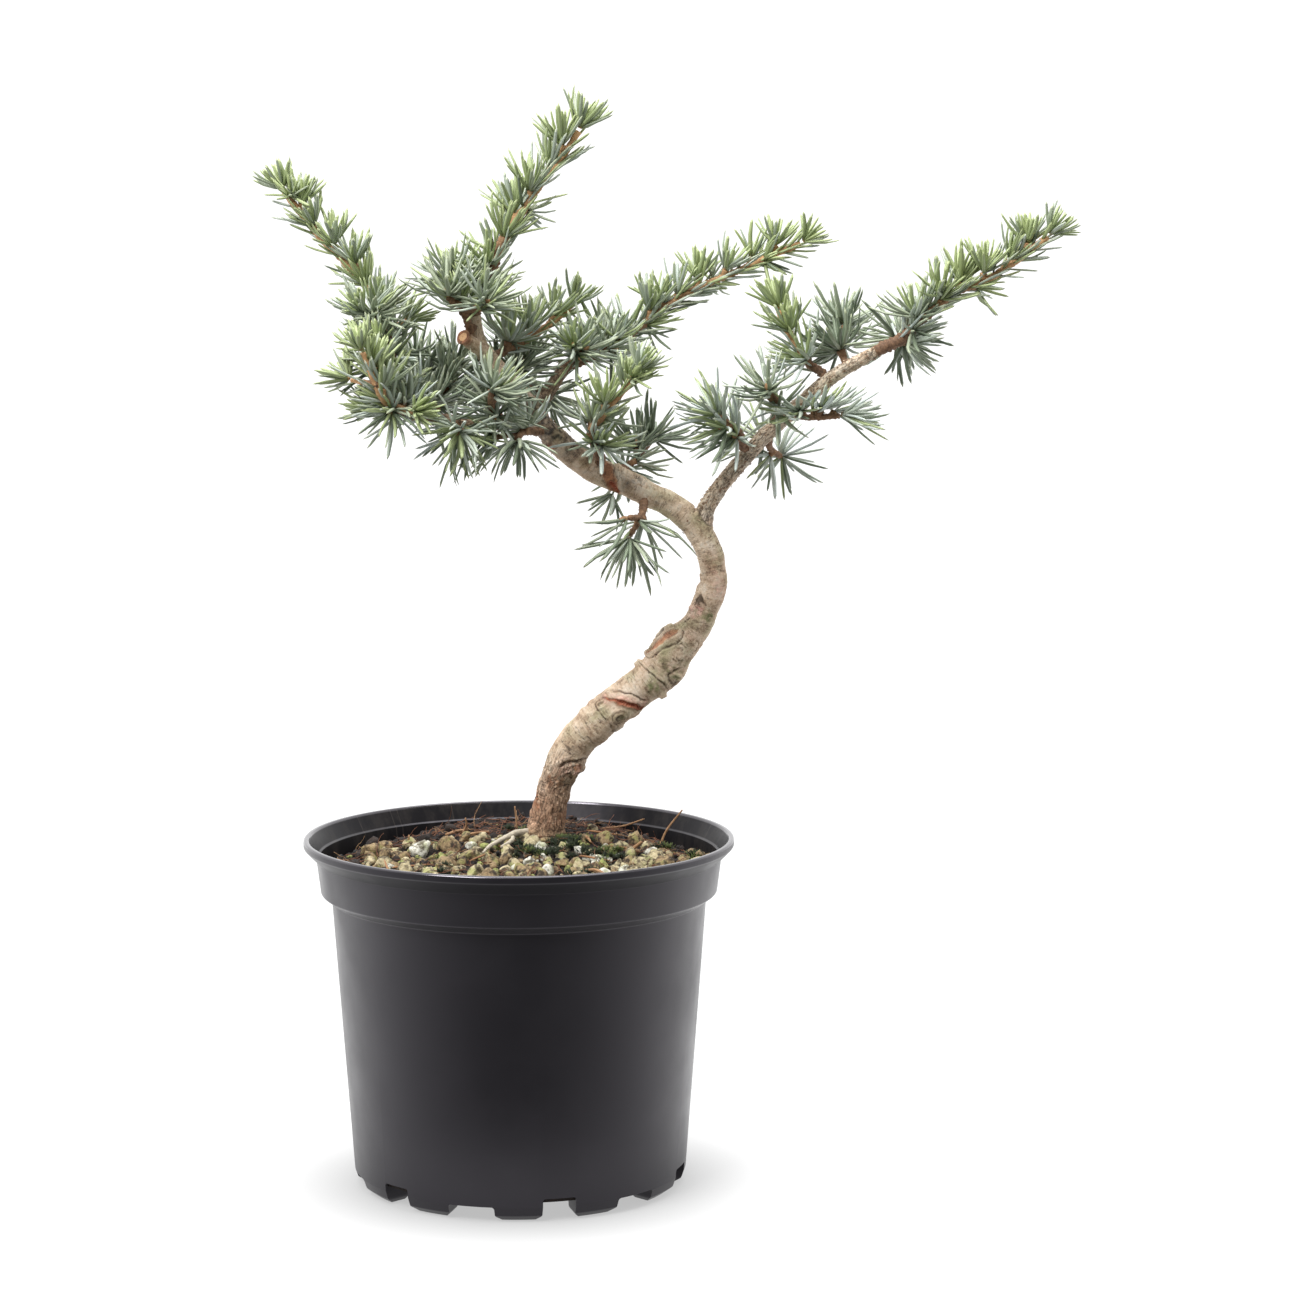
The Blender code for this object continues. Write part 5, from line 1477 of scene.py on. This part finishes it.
def make_bark():
    """Trunk and boughs as one skin with plates, wrinkles and scars that follow each limb."""
    lines = limb_lines(1.0)
    heap = Heap()
    for name, line in lines.items():
        flared = []
        for point in line:
            near = (point.xyz - line[0].xyz).length / (line[0].w * 2.0)
            grow = 1.0 + 0.35 * max(0.0, 1.0 - near) ** 2 * (name not in ("trunk", "left_bough"))
            flared.append((*point.xyz, point.w * grow))
        heap.add_tube(flared, 40, 0)
    stub = lines["cut_stub"]
    facing = (stub[-1].xyz - stub[-2].xyz).normalized()
    across = facing.orthogonal().normalized()
    rim = []
    for k in range(25):
        out = Matrix.Rotation(math.tau * k / 24, 3, facing) @ across
        rim.append((*(stub[-1].xyz + out * (stub[-1].w - 0.1 * MM)), 0.8 * MM))
    heap.add_tube(rim, 12, 0)
    skin = heap.to_object("bark_skin", [])
    remesh = skin.modifiers.new("fuse", "REMESH")
    remesh.mode = "VOXEL"
    remesh.voxel_size = BARK_VOXEL * MM
    mesh = evaluated_mesh(skin)
    skin.modifiers.clear()
    skin.data = mesh
    work = bmesh.new()
    work.from_mesh(mesh)
    for _ in range(2):
        bmesh.ops.smooth_vert(work, verts=work.verts, factor=0.5,
                              use_axis_x=True, use_axis_y=True, use_axis_z=True)
    work.to_mesh(mesh)
    work.free()

    main_line = lines["trunk"][:-1] + lines["left_bough"]
    limbs = {"main": main_line}
    limbs.update({name: lines[name] for name in WOOD_NODES[2:]})
    samples = bark_samples(limbs)
    names = list(limbs)
    count = len(mesh.vertices)
    flat = np.empty(count * 3)
    mesh.vertices.foreach_get("co", flat)
    corners = flat.reshape(-1, 3)
    normals = np.array([vertex.normal[:] for vertex in mesh.vertices])
    height = np.empty(count)
    colours = {name: np.zeros(count)
               for name in ("tone", "dark_marks_and_shade", "red", "pink", "wound", "algae", "grey", "flaky")}
    unrolled = np.empty((count, 3))
    block = 4000
    for start in range(0, count, block):
        part = corners[start:start + block]
        away = np.linalg.norm(part[:, None] - samples[None, :, :3], axis=2) - samples[:, 3]
        near = samples[np.argmin(away, axis=1)]
        offset = part - near[:, :3]
        angle = np.arctan2((offset * near[:, 8:11]).sum(1), (offset * near[:, 5:8]).sum(1))
        tangent = np.cross(near[:, 5:8], near[:, 8:11])
        run = (near[:, 4] + (offset * tangent).sum(1)) / MM
        for k in range(len(part)):
            radius = near[k, 3] / MM
            limb = int(near[k, 11])
            ring = Vector((math.cos(angle[k]) * radius, math.sin(angle[k]) * radius, 0.0))
            flaky = flakiness(names[limb], run[k])
            rise, tone, dark_marks_and_shade, green = bark_texture(ring, run[k] + 400.0 * limb, flaky)
            slender = min(1.0, radius / 5.0)
            height[start + k] = rise * slender
            colours["tone"][start + k] = tone + LIMB_TONES_AND_SHADE.get(names[limb], 0.0)
            colours["dark_marks_and_shade"][start + k] = dark_marks_and_shade
            colours["algae"][start + k] = green
            colours["flaky"][start + k] = flaky
            unrolled[start + k] = (ring.x, ring.y, run[k] + 400.0 * limb)
    from_cut = np.linalg.norm(corners - np.array(stub[-1].xyz), axis=1) / MM
    colours["red"] += 1.1 * hump(np.maximum(from_cut - 2.4, 0.0), 1.5)
    foot = np.clip((178.0 - corners[:, 2] / MM) / 20.0, 0.0, 1.0)
    colours["red"] += 0.62 * foot
    colours["algae"] += 0.25 * hump(corners[:, 2] / MM - 148.0, 4.0)
    mark_bark(warped(corners / MM), normals, main_line, height, colours)
    corners += normals * (height * MM)[:, None]
    mesh.vertices.foreach_set("co", corners.ravel())
    for name, values in colours.items():
        layer = mesh.attributes.new(name, "FLOAT", "POINT")
        layer.data.foreach_set("value", np.clip(values, 0.0, 1.0))
    layer = mesh.attributes.new("unrolled", "FLOAT_VECTOR", "POINT")
    layer.data.foreach_set("vector", unrolled.ravel())
    mesh.shade_smooth()
    mesh.materials.clear()
    mesh.materials.append(bark_finish())
    finish_piece(skin, "bark", *WOOD_NODES)


def make_bark_flakes():
    """Small scales that stand off the flaky bark, so that its outline is rough."""
    chooser = random.Random(SEED + 5)
    lines = limb_lines(1.0)
    flakes = Heap()
    for name, spacing, start, end in FLAKY_RUNS:
        line = lines[name]
        points = np.array([point[:3] for point in line])
        tangents, across, over = frames_along(points)
        for i in range(int(start * len(line)), int(end * len(line))):
            for _ in range(round(line[i].w / MM / spacing)):
                turn = chooser.uniform(0.0, math.tau)
                out = Vector(across[i]) * math.cos(turn) + Vector(over[i]) * math.sin(turn)
                side = out.cross(Vector(tangents[i]))
                way = Vector(tangents[i]) * chooser.choice((-1.0, 1.0))
                way = (way + side * chooser.uniform(-0.4, 0.4)) * chooser.uniform(0.7, 1.9) * MM
                wide = side * chooser.uniform(0.25, 0.6) * MM
                foot = line[i].xyz + out * (line[i].w + 0.1 * MM)
                lift = out * chooser.uniform(0.15, 0.8) * MM
                corners = [foot + wide, foot - wide, foot + way * 0.8 + lift + wide * 0.6,
                           foot + way + lift - wide * 0.4, foot - out * 0.4 * MM]
                faces = [(0, 2, 3, 1), (1, 3, 4), (0, 4, 2), (2, 4, 3), (0, 1, 4)]
                flakes.add([tuple(corner) for corner in corners], faces, [0] * 5)
    made = Finish("bark_flakes", (0.4, 0.3, 0.2), 0.85)
    tone = made.noise(1.5, 3.0, 0.6)
    made.colour(made.ramp(tone, (0.38, (0.13, 0.075, 0.045)), (0.52, (0.36, 0.245, 0.16)),
                          (0.66, (0.56, 0.43, 0.31))))
    finish_piece(flakes.to_object("bark_flakes", [made.material], smooth=False), "bark")


def make_cut_face():
    """The sawn end of the stub: pale wood with rings and a dark middle."""
    stub = limb_lines(1.0)["cut_stub"]
    facing = (stub[-1].xyz - stub[-2].xyz).normalized()
    across = facing.orthogonal().normalized()
    over = facing.cross(across)
    rings, sides = 14, 40
    corners, values, faces = [], [], []
    for i in range(rings + 1):
        share = i / rings
        for k in range(sides):
            turn = math.tau * k / sides
            wobble = 1.0 + 0.06 * math.sin(turn * 3.0) * share
            reach = (stub[-1].w - 0.2 * MM) * share * wobble
            sunk = 0.25 * share * share + 0.05 * math.sin(share * 30.0)
            place = stub[-1].xyz + facing * (0.55 - sunk) * MM
            place += across * math.cos(turn) * reach + over * math.sin(turn) * reach
            corners.append(tuple(place))
            values.append(share)
    for i in range(rings):
        for k in range(sides):
            a, b = i * sides + k, i * sides + (k + 1) % sides
            faces.append((a, a + sides, b + sides, b))
    heap = Heap()
    heap.add(corners, faces, [0] * len(faces), np.array(values))
    wood = Finish("sawn_wood", (0.5, 0.3, 0.15), 0.7)
    share = wood.attribute("share")
    rings_tone = wood.math("SINE", wood.math("MULTIPLY", share, 34.0), 0.0)
    tone = wood.ramp(wood.spread(rings_tone, -1.0, 1.0), (0.0, (0.42, 0.22, 0.10)),
                     (1.0, (0.66, 0.42, 0.22)))
    edge = wood.spread(share, 0.72, 1.0)
    centre = wood.spread(share, 0.0, 0.16, 0.8, 0.0)
    shaded = wood.mix(edge, tone, (0.20, 0.085, 0.04))
    wood.colour(wood.mix(centre, shaded, (0.22, 0.10, 0.045)))
    wood.bump(wood.noise(0.4, 3.0), 0.1)
    face = heap.to_object("cut_face", [wood.material], value_name="share")
    finish_piece(face, "bark")


def twig_finish():
    """Scaly twigs, brown where they are old and orange where they grew last."""
    made = Finish("twig_bark", (0.3, 0.17, 0.08), 0.75)
    flakes = made.noise(1.4, 5.0, 0.7)
    old = made.ramp(flakes, (0.35, (0.07, 0.035, 0.018)), (0.6, (0.22, 0.12, 0.065)))
    young = made.ramp(flakes, (0.3, (0.44, 0.205, 0.085)), (0.65, (0.70, 0.44, 0.225)))
    made.colour(made.mix(made.attribute("youth"), old, young))
    made.bump(flakes, 0.25)
    return made.material


# Kinds of needle, as upper side, lower side and tip in linear colours; the lighter upper side and darker
# lower side are partly the needle's own and partly painted light and shade
NEEDLE_KINDS = (
    ((0.475, 0.53, 0.445), (0.335, 0.385, 0.315), (0.42, 0.46, 0.35)),
    ((0.36, 0.405, 0.29), (0.24, 0.285, 0.195), (0.32, 0.355, 0.225)),
    ((0.20, 0.245, 0.165), (0.11, 0.142, 0.092), (0.18, 0.213, 0.13)),
    ((0.365, 0.43, 0.215), (0.265, 0.325, 0.152), (0.33, 0.38, 0.18)),
    ((0.42, 0.485, 0.24), (0.315, 0.375, 0.17), (0.36, 0.42, 0.195)),
    ((0.54, 0.60, 0.555), (0.385, 0.44, 0.405), (0.49, 0.535, 0.46)),
)

# Mixes of kinds for a spray: its middle needles first, then the others
OLD = (((3,), (0, 0, 5, 1)), ((1,), (0, 1, 1, 2)), ((3, 1), (1, 0, 1)), ((0,), (5, 0, 1)),
       ((1,), (1, 0, 5, 2)), ((3,), (1, 0, 2)))
# Darker mixes for the masses at the back, as painted shade.
BACK_SHADE = (((2,), (1, 2, 2)), ((1,), (1, 2, 2, 0)))
FRESH = (((4,), (3, 3, 4, 0)), ((4,), (3, 1, 3)), ((3,), (3, 0, 1)))
OLD_SINGLE = (0, 1, 1, 5, 2)
FRESH_SINGLE = (3, 3, 4, 0, 1)
# The darkest kind, given to some needles that point down as painted shade.
UNDER_SHADE_KIND = 2
SHADED_BACK_MASSES = ("left_back_tuft", "centre_back_tuft", "back_fan", "bough_back_tuft")
PALE = (((3,), (0, 0, 5)), ((0,), (0, 5, 3)))
PALE_MASSES = ("bough_left_tuft", "bough_lower_shoot", "bough_under_tuft")
GREEN = (((3,), (0, 1, 3)), ((1,), (0, 1, 3, 1)))
GREEN_MASSES = ("crown_tuft", "top_shoot", "right_top_shoot")
NARROW_MASSES = ("bough_lower_shoot", "bough_left_tuft")
OWN_MIXES = ((PALE, PALE_MASSES), (BACK_SHADE, SHADED_BACK_MASSES), (GREEN, GREEN_MASSES))


def needle_finishes():
    """Plain colours in threes: the upper faces, lighter partly as painted light, the lower faces, darker
    partly as painted shade, and the tip of a needle.
    """
    finishes = []
    for number, kind in enumerate(NEEDLE_KINDS):
        for part, colour in zip(("upper", "lower", "tip"), kind):
            made = Finish(f"needle_{number}_{part}", colour, 0.42)
            finishes.append(made.material)
    return finishes


class Needles:
    """Needles gathered for one mass, made into one mesh of slim four-sided spindles."""

    def __init__(self):
        self.rows = []

    def add(self, base, way, length, bend, palette, half_width):
        self.rows.append((*base, *way, length, *bend, palette, half_width))

    def to_object(self, name, materials):
        rows = np.array(self.rows)
        base, way, length = rows[:, 0:3], rows[:, 3:6], rows[:, 6]
        bend, palette, half = rows[:, 7:10], rows[:, 10].astype(int), rows[:, 11] * MM
        side = np.cross(way, (0.0, 0.0, 1.0)) + 1e-6
        side /= np.linalg.norm(side, axis=1, keepdims=True)
        side += np.sin(np.arange(len(rows)) * 2.4)[:, None] * np.cross(side, way) * 0.5
        side /= np.linalg.norm(side, axis=1, keepdims=True)
        over = np.cross(side, way)
        end = way + bend
        bend = end / np.linalg.norm(end, axis=1, keepdims=True) - way
        rings = []
        for share, wide in NEEDLE_RINGS:
            middle = base + way * (length * share)[:, None] + bend * (length * share * share)[:, None]
            reach = (half * wide)[:, None]
            flat = reach * NEEDLE_FLATNESS
            rings.append(np.stack(
                (middle + side * reach, middle + over * flat, middle - side * reach,
                 middle - over * flat), axis=1))
        tips = base + (way + bend) * length[:, None]
        corners = np.concatenate([*rings, tips[:, None]], axis=1)
        per_needle = corners.shape[1]
        faces, parts = [(3, 2, 1, 0)], [1]
        for i in range(len(NEEDLE_RINGS) - 1):
            for k in range(4):
                a, b = i * 4 + k, i * 4 + (k + 1) % 4
                faces.append((a, b, b + 4, a + 4))
                # Upper faces take the lighter colour and lower faces the darker one, partly painted
                # light and shade.
                parts.append(k // 2)
        last = per_needle - 5
        ends = [(last + k, last + (k + 1) % 4, per_needle - 1) for k in range(4)]
        parts += [2] * 4
        starts = (np.arange(len(rows)) * per_needle)[:, None, None]
        quads = (np.array(faces)[None] + starts).tolist()
        triangles = (np.array(ends)[None] + starts).tolist()
        all_faces = [face for pair in zip(quads, triangles) for part in pair for face in part]
        slots = (palette[:, None] * 3 + np.array(parts)[None]).ravel()
        mesh = bpy.data.meshes.new(name)
        mesh.from_pydata(corners.reshape(-1, 3).tolist(), [], all_faces)
        for material in materials:
            mesh.materials.append(material)
        mesh.polygons.foreach_set("material_index", slots.tolist())
        mesh.shade_smooth()
        mesh.update()
        return new_object(name, mesh)


def spray(needles, place, facing, length, count, spread, kinds, half_width, chooser,
          lowest=-1.0, highest=1.0):
    """A rosette: needles round a facing that curve back to it, in some kinds."""
    across = facing.orthogonal().normalized()
    start = chooser.uniform(0.0, math.tau)
    for i in range(count):
        share = (i + 0.5) / count
        angle = spread[0] + (spread[1] - spread[0]) * math.sqrt(share)
        angle = math.radians(angle + chooser.uniform(-9.0, 9.0))
        turn = start + i * GOLDEN_ANGLE + chooser.uniform(-0.3, 0.3)
        out = Matrix.Rotation(turn, 3, facing) @ across
        way = facing * math.cos(angle) + out * math.sin(angle)
        if not lowest < way.z < highest:
            continue
        size = length * (0.78 + 0.26 * share) * chooser.uniform(0.84, 1.1)
        bend = facing * chooser.uniform(0.0, 0.75) * math.sin(angle)
        bend += Vector([chooser.uniform(-0.2, 0.2) for _ in range(3)])
        kind = chooser.choice(kinds[0] if share < 0.32 else kinds[1])
        # Painted shade: some needles that point down take the darkest kind.
        if way.z < -0.2 and chooser.random() < 0.3:
            kind = UNDER_SHADE_KIND
        wide = half_width * chooser.uniform(0.8, 1.15)
        needles.add(place + way * 0.7 * MM, way, size * MM, bend, kind, wide)


def single_needles(needles, line, mass, age, spacing, chooser):
    """Needles one by one along a shoot, that lean forward to all sides."""
    total = line_length(line)
    count = int(total / (spacing * MM))
    for i in range(count):
        share = (i + 0.5) / count
        if share < 0.1:
            continue
        place, way = point_along(line, share * total)
        turn = Matrix.Rotation(i * GOLDEN_ANGLE + chooser.uniform(-0.3, 0.3), 3, way)
        out = turn @ way.orthogonal().normalized()
        below = out.z < 0.0
        if not below and spacing == SINGLE_SPACING and chooser.random() < 0.4:
            continue
        lean = math.radians(chooser.uniform(20.0, 42.0) if below else chooser.uniform(30.0, 60.0))
        ahead = way * math.cos(lean) + out * math.sin(lean)
        size = (mass[4] + (mass[5] - mass[4]) * share) * chooser.uniform(0.6, 0.95)
        bend = out * chooser.uniform(-0.1, 0.12) + UP * chooser.uniform(0.0, 0.1)
        fresh = chooser.random() < age(share) - 0.1
        kind = chooser.choice(FRESH_SINGLE if fresh else OLD_SINGLE)
        wide = YOUNG_HALF_WIDTH * chooser.uniform(0.8, 1.05)
        needles.add(place + out * 0.9 * MM, ahead, size * MM, bend, kind, wide)


def bud(twigs, place, facing, size, youth):
    """A scaly brown bud in the middle of a rosette."""
    shape = ((-1.0, 0.8), (0.0, 1.0), (0.9, 0.95), (1.8, 0.6), (2.4, 0.15))
    line = [(*(place + facing * along * size * MM), wide * size * MM) for along, wide in shape]
    twigs.add_tube(line, 7, 0, np.full(len(line), youth), rough=0.2)


def make_foliage():
    """Twigs, spurs and needles of every mass, at the places of the solids' tufts."""
    random_source = random.Random(SEED)
    coarse = limb_lines(LIMB_STEP)
    stations = {name: twig_stations(coarse, mass) for name, mass in MASSES.items()}
    rule_lines = {
        name: [smooth_line(twig, TWIG_STEP * MM) for twig in twigs]
        for name, twigs in stations.items()
    }
    tufts = {
        name: tufts_of(rule_lines[name], MASSES[name], random_source) for name in MASSES
    }
    chooser = random.Random(SEED + 2)
    needle_materials = needle_finishes()
    twigs = Heap()
    for name, mass in MASSES.items():
        young_tip = mass[5] < YOUNG_LIMIT
        needles = Needles()

        def age(share):
            """0 on old wood to 1 on the newest growth, at a share of the way along."""
            return min(1.0, max(0.0, share * 1.5 - 0.3)) if young_tip else 0.12 * share

        lines = []
        for twig in stations[name]:
            line = smooth_line(twig, 0.8 * MM)
            inward = line[0].xyz - (line[1].xyz - line[0].xyz).normalized() * 1.5 * MM
            line.insert(0, Vector((*inward, line[0].w)))
            lines.append(line)
            total = line_length(line)
            run = 0.0
            shown, ages = [], []
            for i, point in enumerate(line):
                if i:
                    run += (point.xyz - line[i - 1].xyz).length
                ages.append(age(run / total))
                scaly = 1.0 + 0.12 * math.sin(run / MM * 2.6) * (1.0 - ages[-1])
                grow = 1.3 - 0.3 * ages[-1]
                least = SHOOT_R if young_tip and twig is stations[name][0] else TWIG_R
                shown.append((*point.xyz, max(point.w, least * MM) * grow * scaly))
            twigs.add_tube(shown, 10, 0, np.array(ages), rough=0.3)
            if young_tip:
                spacing = CLOSE_SINGLES.get(name, SINGLE_SPACING)
                single_needles(needles, line, mass, age, spacing, chooser)
        for index, (number, foot, centre, way, out, needle, last) in enumerate(tufts[name]):
            share = (mass[4] - needle) / max(mass[4] - mass[5], 0.1)
            young = needle < YOUNG_LIMIT or (share > YOUNG_SHARE and number == 0)
            mixes = next((mixes for mixes, names in OWN_MIXES if name in names), OLD)
            kinds = chooser.choice(FRESH if young else mixes)
            if last and number == 0 and name in TIP_LEANS:
                facing = Vector(TIP_LEANS[name]).normalized()
            elif name == "hanging_tuft":
                facing = Vector(HANGING_SPRAYS[index][0]).normalized()
            elif last:
                facing = (way + UP * 0.35).normalized()
            elif young:
                facing = (out * 0.45 + UP * 0.95 + way * 0.35).normalized()
            else:
                facing = (out * 1.1 + way * SPUR_LEAN + UP * 0.45).normalized()
            tip = foot + facing * (1.5 if last else 4.0) * MM
            if not last:
                width = 1.15 if young else 1.55
                spur = [(*foot.lerp(tip, k / 8.0), (width + 0.2 * (k % 2) + 0.04 * k) * MM)
                        for k in range(9)]
                twigs.add_tube(spur, 10, 0, np.full(9, 0.7 if young else 0.1), rough=0.25)
            bud(twigs, tip + facing * 1.0 * MM, facing, 1.0 if young else 1.2, 0.75 if young else 0.4)
            lowest = CROWN_DROOP if name == "crown_tuft" or (name == "top_shoot" and index < 2) else -1.0
            highest = HIGHEST.get(name, 1.0)
            spread = (4.0, 58.0) if young else (10.0, 70.0 if name in NARROW_MASSES else 92.0)
            count = round((YOUNG_SPRAY if young else OLD_SPRAY) * COUNT_SHARES.get(name, 1.0))
            if name == "hanging_tuft":
                spread, count = HANGING_SPRAYS[index][1:]
            half_width = YOUNG_HALF_WIDTH if young else OLD_HALF_WIDTH
            spray(needles, tip, facing, needle, count, spread, kinds, half_width, chooser,
                  lowest, highest)
            if last or (young and chooser.random() < 0.6):
                continue
            following = tufts[name][index + 1]
            between = foot.lerp(following[1], chooser.uniform(0.35, 0.65))
            turned = Matrix.Rotation(2.0 * GOLDEN_ANGLE, 3, way) @ out
            facing = (turned + UP * 0.7 + way * 0.5).normalized()
            tip = between + facing * 3.0 * MM
            twigs.add_tube([(*between, 1.2 * MM), (*tip, 1.4 * MM)], 8, 0, np.full(2, 0.3))
            spray(needles, tip, facing, needle * 0.85, SMALL_SPRAY, (10.0, 80.0), kinds,
                  half_width, chooser, lowest, highest)
        if name == "hanging_tuft":
            place, facing, spread, count = SMALL_HANGING
            spray(needles, metres(place), Vector(facing).normalized(), SMALL_NEEDLE, count, spread,
                  OLD[1], OLD_HALF_WIDTH, chooser)
        finish_piece(needles.to_object("needles_" + name, needle_materials), "needles", name)
    finish_piece(
        twigs.to_object("twigs", [twig_finish()], value_name="youth"), "bark", *MASSES)


def make_stage():
    """A small pale table that glows, more at its edge than near the pot, soft studio light that is dim
    in front, and the camera.
    """
    floor_mesh = bpy.data.meshes.new("floor")
    work = bmesh.new()
    bmesh.ops.create_circle(work, cap_ends=True, segments=128, radius=TABLE_R)
    work.to_mesh(floor_mesh)
    work.free()
    floor = new_object("floor", floor_mesh)
    floor.location.z = -0.2 * MM
    glowing_paper = Finish("glowing_table_paper", (0.12, 0.12, 0.12), 0.9, Emission_Color=(1.0, 1.0, 1.0, 1.0))
    away = glowing_paper.node("ShaderNodeVectorMath", operation="LENGTH")
    glowing_paper.link(glowing_paper.place(), away.inputs[0])
    # Painted light: the table's paper glows, from 0.5 near the pot to 0.95 at its edge.
    glow = glowing_paper.spread(away.outputs["Value"], 0.072, 0.125, 0.5, 0.95)
    glowing_paper.link(glow, glowing_paper.shader.inputs["Emission Strength"])
    glowing_paper.bump(glowing_paper.noise(2.0), 0.02, 0.2)
    floor_mesh.materials.append(glowing_paper.material)

    world = bpy.data.worlds.new("studio")
    bpy.context.scene.world = world
    world.use_nodes = True
    nodes = world.node_tree.nodes
    links = world.node_tree.links
    sky = nodes["Background"]
    sky.inputs["Color"].default_value = (1.0, 1.0, 1.0, 1.0)
    where = nodes.new("ShaderNodeTexCoord")
    parts = nodes.new("ShaderNodeSeparateXYZ")
    links.new(where.outputs["Generated"], parts.inputs["Vector"])

    def graded(axis, low, high, to_low, to_high):
        level = nodes.new("ShaderNodeMapRange")
        for socket, value in zip(("From Min", "From Max", "To Min", "To Max"),
                                 (low, high, to_low, to_high)):
            level.inputs[socket].default_value = value
        links.new(parts.outputs[axis], level.inputs["Value"])
        return level.outputs["Result"]

    brighter = nodes.new("ShaderNodeMath")
    brighter.operation = "MAXIMUM"
    links.new(graded("Y", -0.95, 0.25, 0.15, 1.5), brighter.inputs[0])
    links.new(graded("Z", 0.3, 0.8, 0.0, 1.3), brighter.inputs[1])
    rays = nodes.new("ShaderNodeLightPath")
    shown = nodes.new("ShaderNodeMix")
    links.new(rays.outputs["Is Camera Ray"], shown.inputs["Factor"])
    links.new(brighter.outputs["Value"], shown.inputs["A"])
    shown.inputs["B"].default_value = 1.2
    links.new(shown.outputs["Result"], sky.inputs["Strength"])

    def area(name, place, aim, size, power):
        light = bpy.data.lights.new(name, "AREA")
        light.shape = "RECTANGLE"
        light.size, light.size_y = size
        light.energy = power
        lamp = bpy.data.objects.new(name, light)
        bpy.context.scene.collection.objects.link(lamp)
        lamp.location = place
        way = Vector(aim) - Vector(place)
        lamp.rotation_euler = way.to_track_quat("-Z", "Y").to_euler()

    area("key", (-0.9, -1.1, 1.7), (0.0, 0.0, 0.25), (0.9, 0.9), 46.0)
    area("top", (0.1, 0.2, 1.9), (0.0, 0.0, 0.3), (1.4, 1.4), 31.0)

    lens = bpy.data.cameras.new("camera")
    lens.lens = CAMERA_LENS
    lens.sensor_width = 36.0
    camera = bpy.data.objects.new("camera", lens)
    bpy.context.scene.collection.objects.link(camera)
    camera.location = CAMERA_PLACE
    camera.rotation_euler = (math.radians(CAMERA_TILT), 0.0, math.radians(CAMERA_TURN))
    bpy.context.scene.camera = camera
    bpy.context.scene.view_settings.view_transform = "Standard"


make_stage()
make_pot()
make_soil_bed()
make_granules()
make_litter()
make_moss()
make_bark()
make_bark_flakes()
make_cut_face()
make_foliage()
